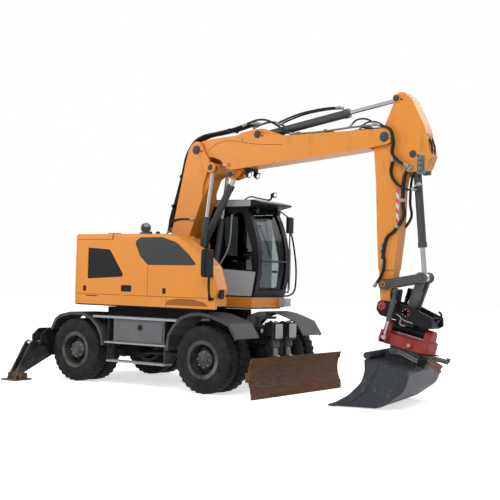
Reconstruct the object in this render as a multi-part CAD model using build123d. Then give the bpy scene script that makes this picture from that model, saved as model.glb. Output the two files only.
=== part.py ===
"""Wheeled excavator: two-piece boom, tilting and turning quick hitch, grading bucket,
front blade and rear outriggers, on four pairs of twin wheels.

Units are millimetres. +X points forward to the blade, +Y to the cab side and +Z up.
Dimensions are laid out about the slewing axis; every node is then moved along X so that
the part's origin is below the middle of its overall length, on the ground.
"""
from build123d import *
import math
import os

# ---------------------------------------------------------------- wheels and axles
TYRE_RADIUS = 527.5          # over the lugs
TYRE_WIDTH = 275.0
TWIN_GAP = 42.0
TYRE_FACETS = 24
BEAD_RADIUS = 256.0
BEAD_HALF_WIDTH = 112.0
RIM_RADIUS = 254.0
RIM_WALL = 14.0
LOCK_RING_RADIUS = 300.0
HUB_RADIUS = 144.0
WHEELBASE = 2684.0
TRACK_OUTSIDE = 2490.0       # over the outer tyres
SPINDLE_RADIUS = 60.0
KINGPIN_Y = 720.0
STEER_LIMIT = 30.0
FIT = 1.0                    # radial play of a plain pin or spindle
GAP = 6.0                    # side play between parts that turn past each other

AXLE_X = WHEELBASE / 2
AXLE_Z = TYRE_RADIUS
OUTER_TYRE_Y = TRACK_OUTSIDE / 2 - TYRE_WIDTH / 2
INNER_TYRE_Y = OUTER_TYRE_Y - TYRE_WIDTH - TWIN_GAP
WHEEL_INNER_Y = INNER_TYRE_Y - TYRE_WIDTH / 2
WHEEL_DISC_Y = (OUTER_TYRE_Y + INNER_TYRE_Y) / 2
HUB_END_Y = OUTER_TYRE_Y + 85.0

# ---------------------------------------------------------------- undercarriage
FRAME_HALF_WIDTH = 330.0
FRAME_TOP_Z = 1040.0
FRAME_BELLY_Z = 620.0
FRAME_ARCH_Z = 770.0         # underside over the axles
FRAME_REAR_X = -1990.0
FRAME_FRONT_X = 1862.0
BRACKET_X = (-762.0, -545.0, 576.0)   # rear face of the walkway brackets
RING_RADIUS = 530.0
RING_BORE = 455.0
RING_TOP_Z = 1262.0
DECK_STEP_Z = 1120.0         # top of the walkway between the wheels
DECK_STEP_X = (-968.0, 798.0)
SIDE_Y = 1220.0
STEP_LEVELS = ((702.0, -706.0, 592.0), (400.0, -650.0, 583.0))   # top z, rear x, front x
TOOLBOX_X = (-521.0, 560.0)
FENDER_SHEET = 12.0
FENDER_INNER_Y = 640.0
FENDER_OUTER_Y = 1240.0

# ---------------------------------------------------------------- blade
BLADE_WIDTH = 2620.0
BLADE_HEIGHT = 610.0
BLADE_FRONT_X = 2345.0
BLADE_PIVOT = (1740.0, 470.0)
BLADE_ARM_Y = 285.0
BLADE_LIMITS = (-10.0, 26.0)
BLADE_CYL_TOP = (1955.0, 1050.0)
BLADE_CYL_EYE = (2010.0, 540.0)
BLADE_CYL_Y = 185.0
BLADE_CYL_RADIUS = 62.0
BLADE_BORE_R = 24.0
BLADE_BORE_X = 2302.0        # middle of the boss around each corner bore
BLADE_BORE_LENGTH = 48.0
BLADE_BORE_INSET = 50.0      # from the blade's end
BLADE_BORE_DROP = 60.0       # below its top edge

# ---------------------------------------------------------------- outriggers
LEG_X = -2100.0
LEG_PIVOT = (1100.0, 455.0)          # y, z of the right and left leg pivots
LEG_LUG = (1520.0, 600.0)            # y, z of the cylinder pin on the leg
LEG_FOOT = (1830.0, 0.0)
LEG_ANCHOR = (430.0, 690.0)          # y, z of the cylinder pin inside the cross box
LEG_LIFT = 75.0
BOX_HALF = 118.0             # half the depth of the cross box along X
BOX_SHEET = 30.0

# ---------------------------------------------------------------- upper structure
SIDE_WALL_Y = 1250.0
TAIL_RADIUS = 1850.0
DECK_Z = (1285.0, 1355.0)
SKIRT_TOP_Z = 1490.0
BODY_TOP_Z = 2470.0
HOOD_SEAM_Z = 2372.0
TAIL_X = -1330.0
HOOD_HINGE = (-560.0, 2440.0)
HOOD_LIFT = 55.0
BAY_Y = 400.0                # half the width of the boom bay
BAY_FRONT_X = 700.0          # front edge of the deck under the boom
NOSE_INNER_Y = -960.0        # inner side of the sloping nose
CAB_Y = (285.0, 1235.0)
CAB_REAR_X = -330.0
CAB_FLOOR_Z = 1480.0
CAB_TOP_Z = 2985.0
CAB_FRONT = ((1215.0, 1480.0), (1310.0, 2090.0), (1040.0, 2985.0))
CAB_WALL = 48.0
ROOF_THICKNESS = 150.0
DOOR_HINGE = (300.0, 1262.0)
DOOR_LIMIT = 160.0

# ---------------------------------------------------------------- boom, stick, linkage (x, z)
FOOT = (-150.0, 1880.0)
ELBOW = (322.0, 3930.0)
HOIST_EYE = (694.0, 3611.0)
HOIST_FOOT = (430.0, 1575.0)
HUMP_PIN = (1546.0, 4123.0)
STICK_PIN = (3835.0, 3951.0)
STICK_CYL_EYE = (3992.0, 4524.0)
BUCKET_CYL_BASE = (4275.0, 3682.0)
ROCKER_PIN = (3855.0, 1759.0)
LINK_PIN = (4452.0, 1868.0)
BUCKET_PIN = (3868.0, 1437.0)
ADJUST_BASE = (370.0, 2330.0)
ADJUST_EYE = (1010.0, 3500.0)
LOWER_HALF = 200.0
ELBOW_LUG_HALF = 150.0
UPPER_HALF = 185.0
STICK_HALF = 118.0
STICK_END_HALF = 92.0
HOIST_Y = 215.0
MID_X = 1300.0               # middle of the overall length, measured from the slewing axis

# ---------------------------------------------------------------- tool head
TOOL_PITCH = 12.4            # the tool head leans this far round the bucket pin
TOOL_ROLL = -2.2             # the tool is tilted this far, which levels the bucket's lip
HEAD_LINK = 400.0            # bucket pin to link pin
CHEEK_Y = (165.0, 200.0)
TILT_Z = -250.0              # tilt axis below the bucket pin
TILT_LIMIT = 25.0
ROTOR_X = 440.0
ROTOR_Z = (-510.0, -350.0)
HITCH_Z = (-700.0, -520.0)
TILT_RAM_X = 215.0
TILT_RAM_TOP = (290.0, 265.0)      # y, z on the tilt frame
TILT_RAM_EYE = (350.0, -425.0)     # y, z on the rotor housing
TILT_BARREL = 440.0
BUCKET_YAW = 10.0
BUCKET_WIDTH = 1800.0
BUCKET_LIP = (-226.0, -1510.0)     # in the head's axes
BUCKET_SHEET = 22.0


def mid(a, b, t=0.5):
    return tuple(p + (q - p) * t for p, q in zip(a, b))


def dist(a, b):
    return math.dist(a, b)


def outline(points):
    """Closed face in the XY plane. A point is (u, v) or (u, v, corner radius).

    A radius is made smaller where its sides are too short for it.
    """
    corners = [Vector(p[0], p[1]) for p in points]
    radii = [p[2] if len(p) > 2 else 0.0 for p in points]
    count = len(points)
    starts, ends, arcs = [], [], []
    for i, corner in enumerate(corners):
        before = (corners[i - 1] - corner).normalized()
        after = (corners[(i + 1) % count] - corner).normalized()
        if radii[i] <= 0:
            starts.append(corner)
            ends.append(corner)
            arcs.append(None)
            continue
        half = math.radians(before.get_angle(after)) / 2
        shorter = min((corners[i - 1] - corner).length, (corners[(i + 1) % count] - corner).length)
        reach = min(radii[i] / math.tan(half), 0.48 * shorter)
        radius = reach * math.tan(half)
        centre = corner + (before + after).normalized() * (radius / math.sin(half))
        starts.append(corner + before * reach)
        ends.append(corner + after * reach)
        arcs.append(centre + (corner - centre).normalized() * radius)
    edges = []
    for i in range(count):
        if arcs[i] is not None:
            edges.append(ThreePointArc(starts[i], arcs[i], ends[i]))
        following = starts[(i + 1) % count]
        if (following - ends[i]).length > 1e-6:
            edges.append(Line(ends[i], following))
    return make_face(Wire(edges))


def side_plate(points, y_low, y_high):
    """Extrude an (x, z) outline from y_low to y_high."""
    return extrude(Plane.XZ.offset(-y_high) * outline(points), amount=y_high - y_low)


def side_pair(points, y_low, y_high):
    """The same plate on the left and on the right."""
    return side_plate(points, y_low, y_high) + side_plate(points, -y_high, -y_low)


def top_plate(points, z_low, z_high):
    """Extrude an (x, y) outline from z_low to z_high."""
    return extrude(Plane.XY.offset(z_low) * outline(points), amount=z_high - z_low)


def front_plate(points, x_low, x_high):
    """Extrude a (y, z) outline from x_low to x_high."""
    return extrude(Plane.YZ.offset(x_low) * outline(points), amount=x_high - x_low)


def block(x, y, z):
    """Box from three (low, high) pairs."""
    size = [high - low for low, high in (x, y, z)]
    centre = [(high + low) / 2 for low, high in (x, y, z)]
    return Pos(*centre) * Box(*size)


def cylinder_y(x, z, radius, y_low, y_high):
    return Plane((x, y_low, z), x_dir=(1, 0, 0), z_dir=(0, 1, 0)) * Cylinder(
        radius, y_high - y_low, align=(Align.CENTER, Align.CENTER, Align.MIN))


def cylinder_between(start, end, radius):
    start, end = Vector(*start), Vector(*end)
    along = end - start
    return Plane(start, z_dir=along.normalized()) * Cylinder(
        radius, along.length, align=(Align.CENTER, Align.CENTER, Align.MIN))


def cylinder_z(x, y, radius, z_low, z_high):
    return Pos(x, y, z_low) * Cylinder(radius, z_high - z_low, align=(Align.CENTER, Align.CENTER, Align.MIN))


def twin(shape):
    """The shape and its mirror image across the machine's middle plane."""
    return shape + mirror(shape, about=Plane.XZ)


def apart(*shapes):
    """Solids of one node that meet at their faces and stay separate."""
    return Compound([solid for shape in shapes for solid in shape.solids()])


def strip(points, depth):
    """Outline of a bent sheet: the points are its outer side, the sheet lies to their right."""
    inner = []
    for i, point in enumerate(points):
        a = points[max(i - 1, 0)]
        b = points[min(i + 1, len(points) - 1)]
        length = dist(a[:2], b[:2])
        inner.append((point[0] + (b[1] - a[1]) / length * depth, point[1] - (b[0] - a[0]) / length * depth))
    return [tuple(p[:2]) for p in points] + inner[::-1]


def ram(base, eye, y_mid, radii, barrel_length, shortest, eye_widths, pin_radius, spare=8):
    """Barrel and rod of a hydraulic cylinder between two (x, z) pins at y_mid.

    radii are those of the barrel and the rod, shortest is the smallest distance
    between the two pins over the whole stroke, eye_widths those of the two eyes, and
    spare the room left behind the rod at that distance.
    """
    barrel_radius, rod_radius = radii
    length = dist(base, eye)

    def at(t):
        x, z = mid(base, eye, t / length)
        return (x, y_mid, z)

    def eye_boss(pin, width):
        return cylinder_y(pin[0], pin[1], eye_radius, y_mid - width / 2, y_mid + width / 2)

    eye_radius = barrel_radius * 1.05
    bore_start = eye_radius * 1.4
    barrel = cylinder_between(at(eye_radius * 0.7), at(barrel_length), barrel_radius)
    barrel += cylinder_between(at(barrel_length - barrel_radius * 1.3), at(barrel_length), barrel_radius * 1.12)
    barrel += eye_boss(base, eye_widths[0])
    barrel -= cylinder_between(at(bore_start), at(barrel_length + 1), rod_radius + FIT)
    barrel = pinned(barrel, base, pin_radius, y_mid - barrel_radius - 10, y_mid + barrel_radius + 10)
    rod_start = bore_start + length - shortest + spare
    rod = cylinder_between(at(rod_start), at(length - eye_radius * 0.7), rod_radius)
    rod += eye_boss(eye, eye_widths[1])
    return barrel, rod


def pinned(shape, at, radius, y_low, y_high):
    """Cut a pin hole along Y."""
    return shape - cylinder_y(at[0], at[1], radius, y_low - 1, y_high + 1)


# ================================================================ undercarriage
def chassis_frame():
    """Main frame with the slewing ring, the blade's nose and horns, brackets and cross box."""
    half = FRAME_HALF_WIDTH
    spine = block((FRAME_REAR_X, FRAME_FRONT_X), (-half, half), (FRAME_ARCH_Z, FRAME_TOP_Z))
    rear = side_plate([(FRAME_REAR_X, 430), (-1880, 430), (-1800, FRAME_ARCH_Z), (FRAME_REAR_X, FRAME_ARCH_Z)], -half, half)
    belly = side_plate([(-960, FRAME_ARCH_Z), (-860, FRAME_BELLY_Z, 60), (860, FRAME_BELLY_Z, 60), (960, FRAME_ARCH_Z)],
                       -half, half)
    drum = cylinder_z(0, 0, 570, FRAME_TOP_Z, 1190) + cylinder_z(0, 0, RING_RADIUS, 1190, RING_TOP_Z)
    drum -= cylinder_z(0, 0, RING_BORE, 1195, RING_TOP_Z + 1)
    # nose block with the pin of the blade arms
    px, pz = BLADE_PIVOT
    pivot = cylinder_y(px, pz, 45 - FIT, -330, 330)
    nose = side_plate([(1640, FRAME_ARCH_Z), (1640, 560, 40), (px - 75, 395, 60), (px + 75, 395, 60), (1870, 560, 40),
                       (1870, FRAME_ARCH_Z)], -235, 235) - pivot
    # horns that carry the blade cylinders, and the pins through them
    inner, outer = BLADE_CYL_Y - BLADE_CYL_RADIUS - 11, BLADE_CYL_Y + BLADE_CYL_RADIUS + 11
    horn = [(FRAME_FRONT_X, 800), (FRAME_FRONT_X, FRAME_TOP_Z + 60), (1930, FRAME_TOP_Z + 90, 30),
            (2010, FRAME_TOP_Z + 60, 40), (2010, 1000, 30), (1900, 900, 60), (1900, 800)]
    pins = twin(cylinder_y(BLADE_CYL_TOP[0], BLADE_CYL_TOP[1], 24, inner - 18, outer + 18))
    horns = [side_pair(horn, low, high) - pins for low, high in ((inner - 18, inner), (outer, outer + 18))]
    # trunnion pads over the axles
    pads = [block((x - 110, x + 110), (-150, 150), (FRAME_ARCH_Z - 60, FRAME_ARCH_Z)) for x in (-AXLE_X, AXLE_X)]
    # brackets that carry the walkways
    top = DECK_STEP_Z - 34
    brackets = []
    for x in BRACKET_X:
        for y in (SIDE_Y - 40, -SIDE_Y + 40):
            brackets.append(block((x, x + 20), sorted((math.copysign(FRAME_HALF_WIDTH, y), y)), (top - 45, top)))
            brackets.append(block((x, x + 20), sorted((math.copysign(FRAME_HALF_WIDTH, y), y * 0.42)), (860, top - 45)))
    # housings of the swing drive's pipework, on both walkways under the upper structure
    boxes = [block(DECK_STEP_X, sorted((s * 600, s * 850)), (DECK_STEP_Z, RING_TOP_Z)) for s in (-1, 1)]
    return apart(spine, rear, belly, drum, pivot, nose, pins, *horns, *pads, *brackets, *cross_box(), *guards(),
                 *boxes)


def cross_box():
    """Box at the rear in which the outriggers swing: plates, pins, top and bottom."""
    wing = [(1390, 640, 40), (1390, 740, 30), (1240, 850, 30), (FRAME_HALF_WIDTH, 850), (FRAME_HALF_WIDTH, 370),
            (900, 370), (1190, 400, 60), (1215, 560, 40)]
    low, high = LEG_X - BOX_HALF, LEG_X + BOX_HALF
    parts = []
    for s in (-1, 1):
        side = [(s * p[0],) + p[1:] for p in wing]
        plates = [front_plate(side, low, low + BOX_SHEET), front_plate(side, high - BOX_SHEET, high)]
        for y, z in (LEG_PIVOT, LEG_ANCHOR):
            pin = cylinder_between((low - 17, s * y, z), (high + 17, s * y, z), 32 - FIT)
            plates = [plate - pin for plate in plates]
            parts.append(pin)
        parts += plates
        for z in ((850, 862), (358, 370)):
            parts.append(block((low, high), sorted((s * FRAME_HALF_WIDTH, s * 650)), z))
    tail = block((low, FRAME_REAR_X), (-FRAME_HALF_WIDTH, FRAME_HALF_WIDTH), (370, 850))
    return [*parts, tail]


def axle_housing(half_length):
    """Beam with the differential bulge, lying across the machine at x = 0."""
    beam = cylinder_between((0, -half_length, AXLE_Z), (0, half_length, AXLE_Z), 95)
    bulge = Pos(0, 0, AXLE_Z) * Sphere(178)
    bulge += cylinder_between((-215, 0, AXLE_Z), (0, 0, AXLE_Z), 80)
    return beam + bulge


def axle_front():
    axle = axle_housing(565)
    # yokes that hold the kingpins above and below the knuckles
    yoke = [(560, -185), (KINGPIN_Y + 60, -185, 50), (KINGPIN_Y + 60, -150), (590, -150),
            (590, 150), (KINGPIN_Y + 60, 150), (KINGPIN_Y + 60, 185, 50), (560, 185), (480, 90), (480, -90)]
    axle += twin(front_plate([(p[0], p[1] + AXLE_Z) + p[2:] for p in yoke], -60, 60))
    axle += twin(cylinder_z(0, KINGPIN_Y, 30, AXLE_Z - 160, AXLE_Z - 120))
    axle += twin(cylinder_z(0, KINGPIN_Y, 30, AXLE_Z + 120, AXLE_Z + 160))
    # steering cylinder in front of the beam
    axle += cylinder_between((190, -260, AXLE_Z), (190, 260, AXLE_Z), 42)
    axle += cylinder_between((190, -500, AXLE_Z), (190, 500, AXLE_Z), 20)
    # trunnion on which the axle hangs under the frame
    axle += block((-70, 70), (-90, 90), (AXLE_Z + 120, FRAME_ARCH_Z - 60))
    return Pos(AXLE_X, 0, 0) * axle


def axle_rear():
    axle = axle_housing(600)
    axle += cylinder_between((0, 0, AXLE_Z), (215, 0, AXLE_Z), 80)
    axle += twin(cylinder_between((0, 590, AXLE_Z), (0, WHEEL_DISC_Y + 60, AXLE_Z), SPINDLE_RADIUS))
    axle += twin(cylinder_between((0, 560, AXLE_Z), (0, 640, AXLE_Z), 150))
    # rigid seats under the frame
    axle += twin(block((-90, 90), (210, 300), (AXLE_Z, FRAME_ARCH_Z)))
    # gearbox with its travel motor, and the shaft to the front axle
    axle += block((150, 420), (-140, 200), (AXLE_Z - 150, AXLE_Z + 150))
    axle += cylinder_between((400, 110, AXLE_Z - 20), (640, 110, AXLE_Z - 20), 85)
    axle += cylinder_between((400, 0, AXLE_Z - 60), (WHEELBASE - 224, 0, AXLE_Z), 38)
    return Pos(-AXLE_X, 0, 0) * axle


def knuckle():
    """Left steering knuckle with its spindle and steering arm."""
    body = block((-75, 75), (KINGPIN_Y - 75, KINGPIN_Y + 85), (-140, 140))
    body += cylinder_between((0, KINGPIN_Y + 80, 0), (0, KINGPIN_Y + 100, 0), 130)
    body += cylinder_between((0, KINGPIN_Y + 90, 0), (0, WHEEL_DISC_Y + 60, 0), SPINDLE_RADIUS)
    body -= cylinder_z(0, KINGPIN_Y, 30 + FIT, -150, 150)
    body += block((70, 185), (KINGPIN_Y - 70, KINGPIN_Y - 20), (-20, 20))
    return Pos(AXLE_X, 0, AXLE_Z) * body


def tyre():
    """One tyre about the Y axis: facetted carcass, shoulder lugs on alternate sides."""
    sections = ((-BEAD_HALF_WIDTH, 0.57), (-TYRE_WIDTH / 2, 0.78), (-TYRE_WIDTH * 0.43, 0.955),
                (TYRE_WIDTH * 0.43, 0.955), (TYRE_WIDTH / 2, 0.78), (BEAD_HALF_WIDTH, 0.57))
    rings = []
    for y, share in sections:
        plane = Plane((0, y, 0), x_dir=(1, 0, 0), z_dir=(0, 1, 0))
        rings.append(plane * RegularPolygon(TYRE_RADIUS * share, TYRE_FACETS, major_radius=False))
    carcass = loft(rings, ruled=True)
    bore = Plane((0, -TYRE_WIDTH, 0), x_dir=(1, 0, 0), z_dir=(0, 1, 0)) * RegularPolygon(
        BEAD_RADIUS, TYRE_FACETS, major_radius=False)
    carcass -= extrude(bore, amount=2 * TYRE_WIDTH)
    base = TYRE_RADIUS * 0.9
    for i in range(TYRE_FACETS):
        side = 1 if i % 2 else -1
        y_far = side * TYRE_WIDTH * 0.47
        y_near = -side * TYRE_WIDTH * 0.06
        lug = block((-34, 34), sorted((y_near, y_far)), (base, TYRE_RADIUS))
        carcass += Rotation(0, 360 / TYRE_FACETS * i, 0) * lug
    return carcass


def rim_profile():
    """Half section of the twin rims and hub: (radius, y) corners."""
    wall = RIM_RADIUS - RIM_WALL
    points = [(wall, WHEEL_INNER_Y + 8)]
    for centre in (INNER_TYRE_Y, OUTER_TYRE_Y):
        inner, outer = centre - BEAD_HALF_WIDTH, centre + BEAD_HALF_WIDTH
        points += [(LOCK_RING_RADIUS, inner - 14), (LOCK_RING_RADIUS, inner), (RIM_RADIUS, inner),
                   (RIM_RADIUS, outer), (LOCK_RING_RADIUS, outer), (LOCK_RING_RADIUS, outer + 14)]
    points[0] = (wall, points[1][1])
    end = points[-1][1]
    points += [(wall, end), (wall, WHEEL_DISC_Y + 60), (HUB_RADIUS + 20, WHEEL_DISC_Y + 14),
               (HUB_RADIUS, WHEEL_DISC_Y + 14), (HUB_RADIUS, HUB_END_Y - 30), (HUB_RADIUS - 30, HUB_END_Y),
               (0, HUB_END_Y), (0, WHEEL_DISC_Y + 80), (SPINDLE_RADIUS + FIT, WHEEL_DISC_Y + 80),
               (SPINDLE_RADIUS + FIT, WHEEL_DISC_Y - 110), (HUB_RADIUS - 20, WHEEL_DISC_Y - 110),
               (HUB_RADIUS - 20, WHEEL_DISC_Y - 14), (wall, WHEEL_DISC_Y + 32)]
    return points


def rims():
    """Left twin rims with the hub, about the Y axis."""
    return revolve(Plane.XY * outline(rim_profile()), Axis.Y)


def wheels():
    """Tyres and rims of the four twin wheels, by node name."""
    one_tyre, metal = tyre(), rims()
    rubber = Compound([(Pos(0, y, 0) * one_tyre).solid() for y in (OUTER_TYRE_Y, INNER_TYRE_Y)])
    nodes = {}
    for place, x in (("front", AXLE_X), ("rear", -AXLE_X)):
        for name, side in (("left", 1), ("right", -1)):
            for kind, shape in (("tyres", rubber), ("rims", metal)):
                shape = shape if side > 0 else mirror(shape, about=Plane.XZ)
                nodes[f"{kind}_{place}_{name}"] = Pos(x, 0, AXLE_Z) * shape
    return nodes


def side_steps():
    """Walkway plates, and the steps that hang from them on two upright plates."""
    rear, front = DECK_STEP_X
    low = DECK_STEP_Z - 34
    inner, outer = SIDE_Y - 210, SIDE_Y
    bottom = STEP_LEVELS[-1]
    parts = [block((rear, front), (340, SIDE_Y), (low, DECK_STEP_Z)) - cylinder_z(0, 0, 580, 1000, 1200)]
    treads = [block((start, end), (inner, outer), (top - 24, top)) for top, start, end in STEP_LEVELS]
    for x in (bottom[1] + 10, bottom[2] - 22):
        upright = block((x, x + 12), (inner + 20, outer - 10), (bottom[0] - 24, low))
        for tread in treads:
            upright -= tread
        parts.append(upright)
    parts += treads
    return apart(*parts, *[mirror(part, about=Plane.XZ) for part in parts])


def toolboxes():
    """Lockable boxes that hang under the walkways."""
    rear, front = TOOLBOX_X
    z = (STEP_LEVELS[0][0], DECK_STEP_Z - 34)
    box = block((rear, front), (SIDE_Y - 480, SIDE_Y - 25), z)
    box += block((rear + 40, front - 40), (SIDE_Y - 26, SIDE_Y - 12), (z[0] + 30, z[1] - 40))
    box += block((-30, 70), (SIDE_Y - 13, SIDE_Y - 2), (z[0] + 200, z[0] + 235))
    return twin(box)


# outer side of the mudguards in x, z, from the rear to the front
FRONT_FENDER = [(610, 636), (643, 873), (738, 1019), (893, 1168), (1089, 1236), (1283, 1250),
                (1477, 1222), (1668, 1165), (1846, 1100), (1995, 880)]
REAR_FENDER = [(-1925, 855), (-1830, 1034), (-1714, 1107), (-1480, 1158), (-1200, 1160), (-994, 1095),
               (-831, 961), (-735, 801), (-707, 638)]


def fender(points):
    """Arched mudguard: a sheet with an outer rim and a carrying arm."""
    sheet = side_plate(strip(points, FENDER_SHEET), FENDER_INNER_Y, FENDER_OUTER_Y - 12)
    sheet += side_plate(strip(points, FENDER_SHEET * 4), FENDER_OUTER_Y - 13, FENDER_OUTER_Y)
    return sheet


def fenders():
    front = fender(FRONT_FENDER)
    rear = fender(REAR_FENDER)
    arm_front = block((1240, 1330), (FRAME_HALF_WIDTH, FENDER_INNER_Y + 200), (1120, 1160))
    arm_front += block((1240, 1330), (FRAME_HALF_WIDTH, FRAME_HALF_WIDTH + 30), (950, 1160))
    arm_front += block((1240, 1330), (FENDER_INNER_Y, FENDER_INNER_Y + 30), (1130, 1240))
    arm_rear = block((-1380, -1300), (FRAME_HALF_WIDTH, FENDER_INNER_Y + 200), (1105, 1150))
    arm_rear += block((-1380, -1300), (FRAME_HALF_WIDTH, FRAME_HALF_WIDTH + 30), (950, 1150))
    return twin(front + arm_front) + twin(rear + arm_rear)


# ================================================================ blade and outriggers
def blade():
    """Curved mouldboard with cutting edge, ribs behind it and the two push arms."""
    front, back, height = BLADE_FRONT_X, BLADE_FRONT_X - 22, BLADE_HEIGHT
    hollow = 70.0
    face = [Line((front, 8), (front - 10, 130)), ThreePointArc((front - 10, 130), (front - hollow, 330), (front, height)),
            Line((front, height), (back, height)), ThreePointArc((back, height), (back - hollow, 330), (back - 12, 130)),
            Line((back - 12, 130), (back - 6, 8)), Line((back - 6, 8), (front, 8))]
    half = BLADE_WIDTH / 2
    board = extrude(Plane.XZ.offset(-half) * make_face(Wire(face)), amount=BLADE_WIDTH)
    board += side_plate([(front + 4, 2), (front - 26, 2), (front - 26, 150), (front - 6, 150)], -half, half)
    # bosses and bores at the top corners
    reach = BLADE_BORE_LENGTH / 2
    for y in (-half + BLADE_BORE_INSET, half - BLADE_BORE_INSET):
        z = height - BLADE_BORE_DROP
        board += cylinder_between((BLADE_BORE_X - reach, y, z), (BLADE_BORE_X + reach, y, z), 46)
        board -= cylinder_between((BLADE_BORE_X - 100, y, z), (BLADE_BORE_X + 100, y, z), BLADE_BORE_R)
    # ribs and the box that stiffens the back
    box_x, box_z = (back - 130, back - 60), (250, 390)
    stiffener = block(box_x, (-half + 20, half - 20), box_z) - board
    rib = [(back - 8, 30), (back - 90, 60, 30), (back - 130, 330, 60), (back - 60, height - 10, 30),
           (back - 5, height - 10), (back - hollow - 2, 330)]
    ribs = []
    for y in (-half + 112, -760, -420, 400, 740, half - 132):
        ribs.append(side_plate(rib, y, y + 20) - board - stiffener)
    px, pz = BLADE_PIVOT
    arm = [(px - 75, pz - 55, 54), (px + 120, pz - 75, 40), (box_x[0], 250), (box_x[0], 390),
           (px + 160, pz + 80, 60), (px - 75, pz + 55, 54)]
    arms = [pinned(side_plate(arm, *sorted((s * (BLADE_ARM_Y - 35), s * (BLADE_ARM_Y + 35)))), BLADE_PIVOT, 45, -400, 400)
            for s in (-1, 1)]
    ex, ez = BLADE_CYL_EYE
    tube = cylinder_between((ex, -BLADE_ARM_Y + 35, ez - 122), (ex, BLADE_ARM_Y - 35, ez - 122), 48)
    lug = [(ex - 45, ez - 125), (ex - 50, ez + 50, 45), (ex + 50, ez + 50, 45), (ex + 45, ez - 125)]
    for y in (BLADE_CYL_Y - 65, BLADE_CYL_Y + 51):
        tube += side_pair(lug, y, y + 14)
    return apart(board, stiffener, *ribs, *arms, tube)


def blade_rams():
    barrel, rod = ram(BLADE_CYL_TOP, BLADE_CYL_EYE, BLADE_CYL_Y, (BLADE_CYL_RADIUS, 40), 330, 397, (130, 64), 24 + FIT)
    return twin(barrel), twin(rod)


def guards():
    """Sheet covers in front of the blade cylinders."""
    front, low, high = 2055, 830, 1105
    inner, outer = BLADE_CYL_Y - 95, BLADE_CYL_Y + 125
    plates = []
    for s in (-1, 1):
        plates.append(block((front, front + 8), sorted((s * inner, s * outer)), (low, high)))
        for y in (inner, outer - 8):
            plates.append(block((FRAME_FRONT_X, front), sorted((s * y, s * (y + 8))), (900, high)))
    return plates


def outrigger():
    """Left leg: tapered box arm, cylinder lug and foot plate."""
    py, pz = LEG_PIVOT
    ly, lz = LEG_LUG
    fy, fz = LEG_FOOT
    arm = [(py - 70, pz - 30, 40), (py + 20, pz - 75, 60), (fy - 70, fz + 110), (fy + 40, fz + 60, 20),
           (fy + 60, fz + 150, 30), (ly + 70, lz + 20, 60), (ly - 10, lz + 75, 60), (ly - 120, lz - 20, 80),
           (py + 10, pz + 75, 60), (py - 70, pz + 40, 40)]
    leg = front_plate(arm, -80, -50) + front_plate(arm, 50, 80)
    web = [(py + 40, pz - 60), (fy - 70, fz + 110), (fy + 40, fz + 60), (fy + 40, fz + 140), (fy - 60, fz + 190),
           (py + 100, pz - 20)]
    leg += front_plate(web, -55, 55)
    leg += block((-160, 160), (fy - 200, fy + 190), (fz, fz + 26))
    for y in (fy - 110, fy + 20):
        leg += front_plate([(y, fz + 20), (y + 30, fz + 20), (y + 30, fz + 120), (y, fz + 120)], -150, 150)
    leg += front_plate([(fy - 150, fz + 20), (fy + 120, fz + 20), (fy + 50, fz + 150), (fy - 70, fz + 150)], -100, -80)
    leg += front_plate([(fy - 150, fz + 20), (fy + 120, fz + 20), (fy + 50, fz + 150), (fy - 70, fz + 150)], 80, 100)
    leg -= cylinder_between((-200, py, pz), (200, py, pz), 32)
    return Pos(LEG_X, 0, 0) * leg


def outrigger_ram():
    """Left cylinder between the cross box and the leg."""
    a, b = (LEG_ANCHOR[0], LEG_ANCHOR[1]), (LEG_LUG[0], LEG_LUG[1])
    length = dist(a, b)

    def at(t):
        y, z = mid(a, b, t / length)
        return (0, y, z)

    def eye(p, half):
        return cylinder_between((-half, p[0], p[1]), (half, p[0], p[1]), 52)

    barrel = cylinder_between(at(35), at(590), 46) + cylinder_between(at(540), at(590), 54) + eye(a, 44)
    barrel -= cylinder_between(at(110), at(600), 28 + FIT)
    barrel -= cylinder_between((-60, a[0], a[1]), (60, a[0], a[1]), 32)
    rod = cylinder_between(at(545), at(length - 35), 28) + eye(b, 44)
    return Pos(LEG_X, 0, 0) * barrel, Pos(LEG_X, 0, 0) * rod


# ================================================================ upper structure
def tail_plan(inset=0.0):
    """Plan of the rounded tail behind TAIL_X: (x, y) corners joined by an arc."""
    radius = TAIL_RADIUS - inset
    half = SIDE_WALL_Y - inset
    corner_x = -math.sqrt(radius ** 2 - half ** 2)
    edges = [Line((TAIL_X, half), (corner_x, half)) if corner_x < TAIL_X - 1 else None,
             ThreePointArc((min(corner_x, TAIL_X), half), (-radius, 0), (min(corner_x, TAIL_X), -half)),
             Line((corner_x, -half), (TAIL_X, -half)) if corner_x < TAIL_X - 1 else None,
             Line((TAIL_X, -half), (TAIL_X, half))]
    return make_face(Wire([edge for edge in edges if edge is not None]))


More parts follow.
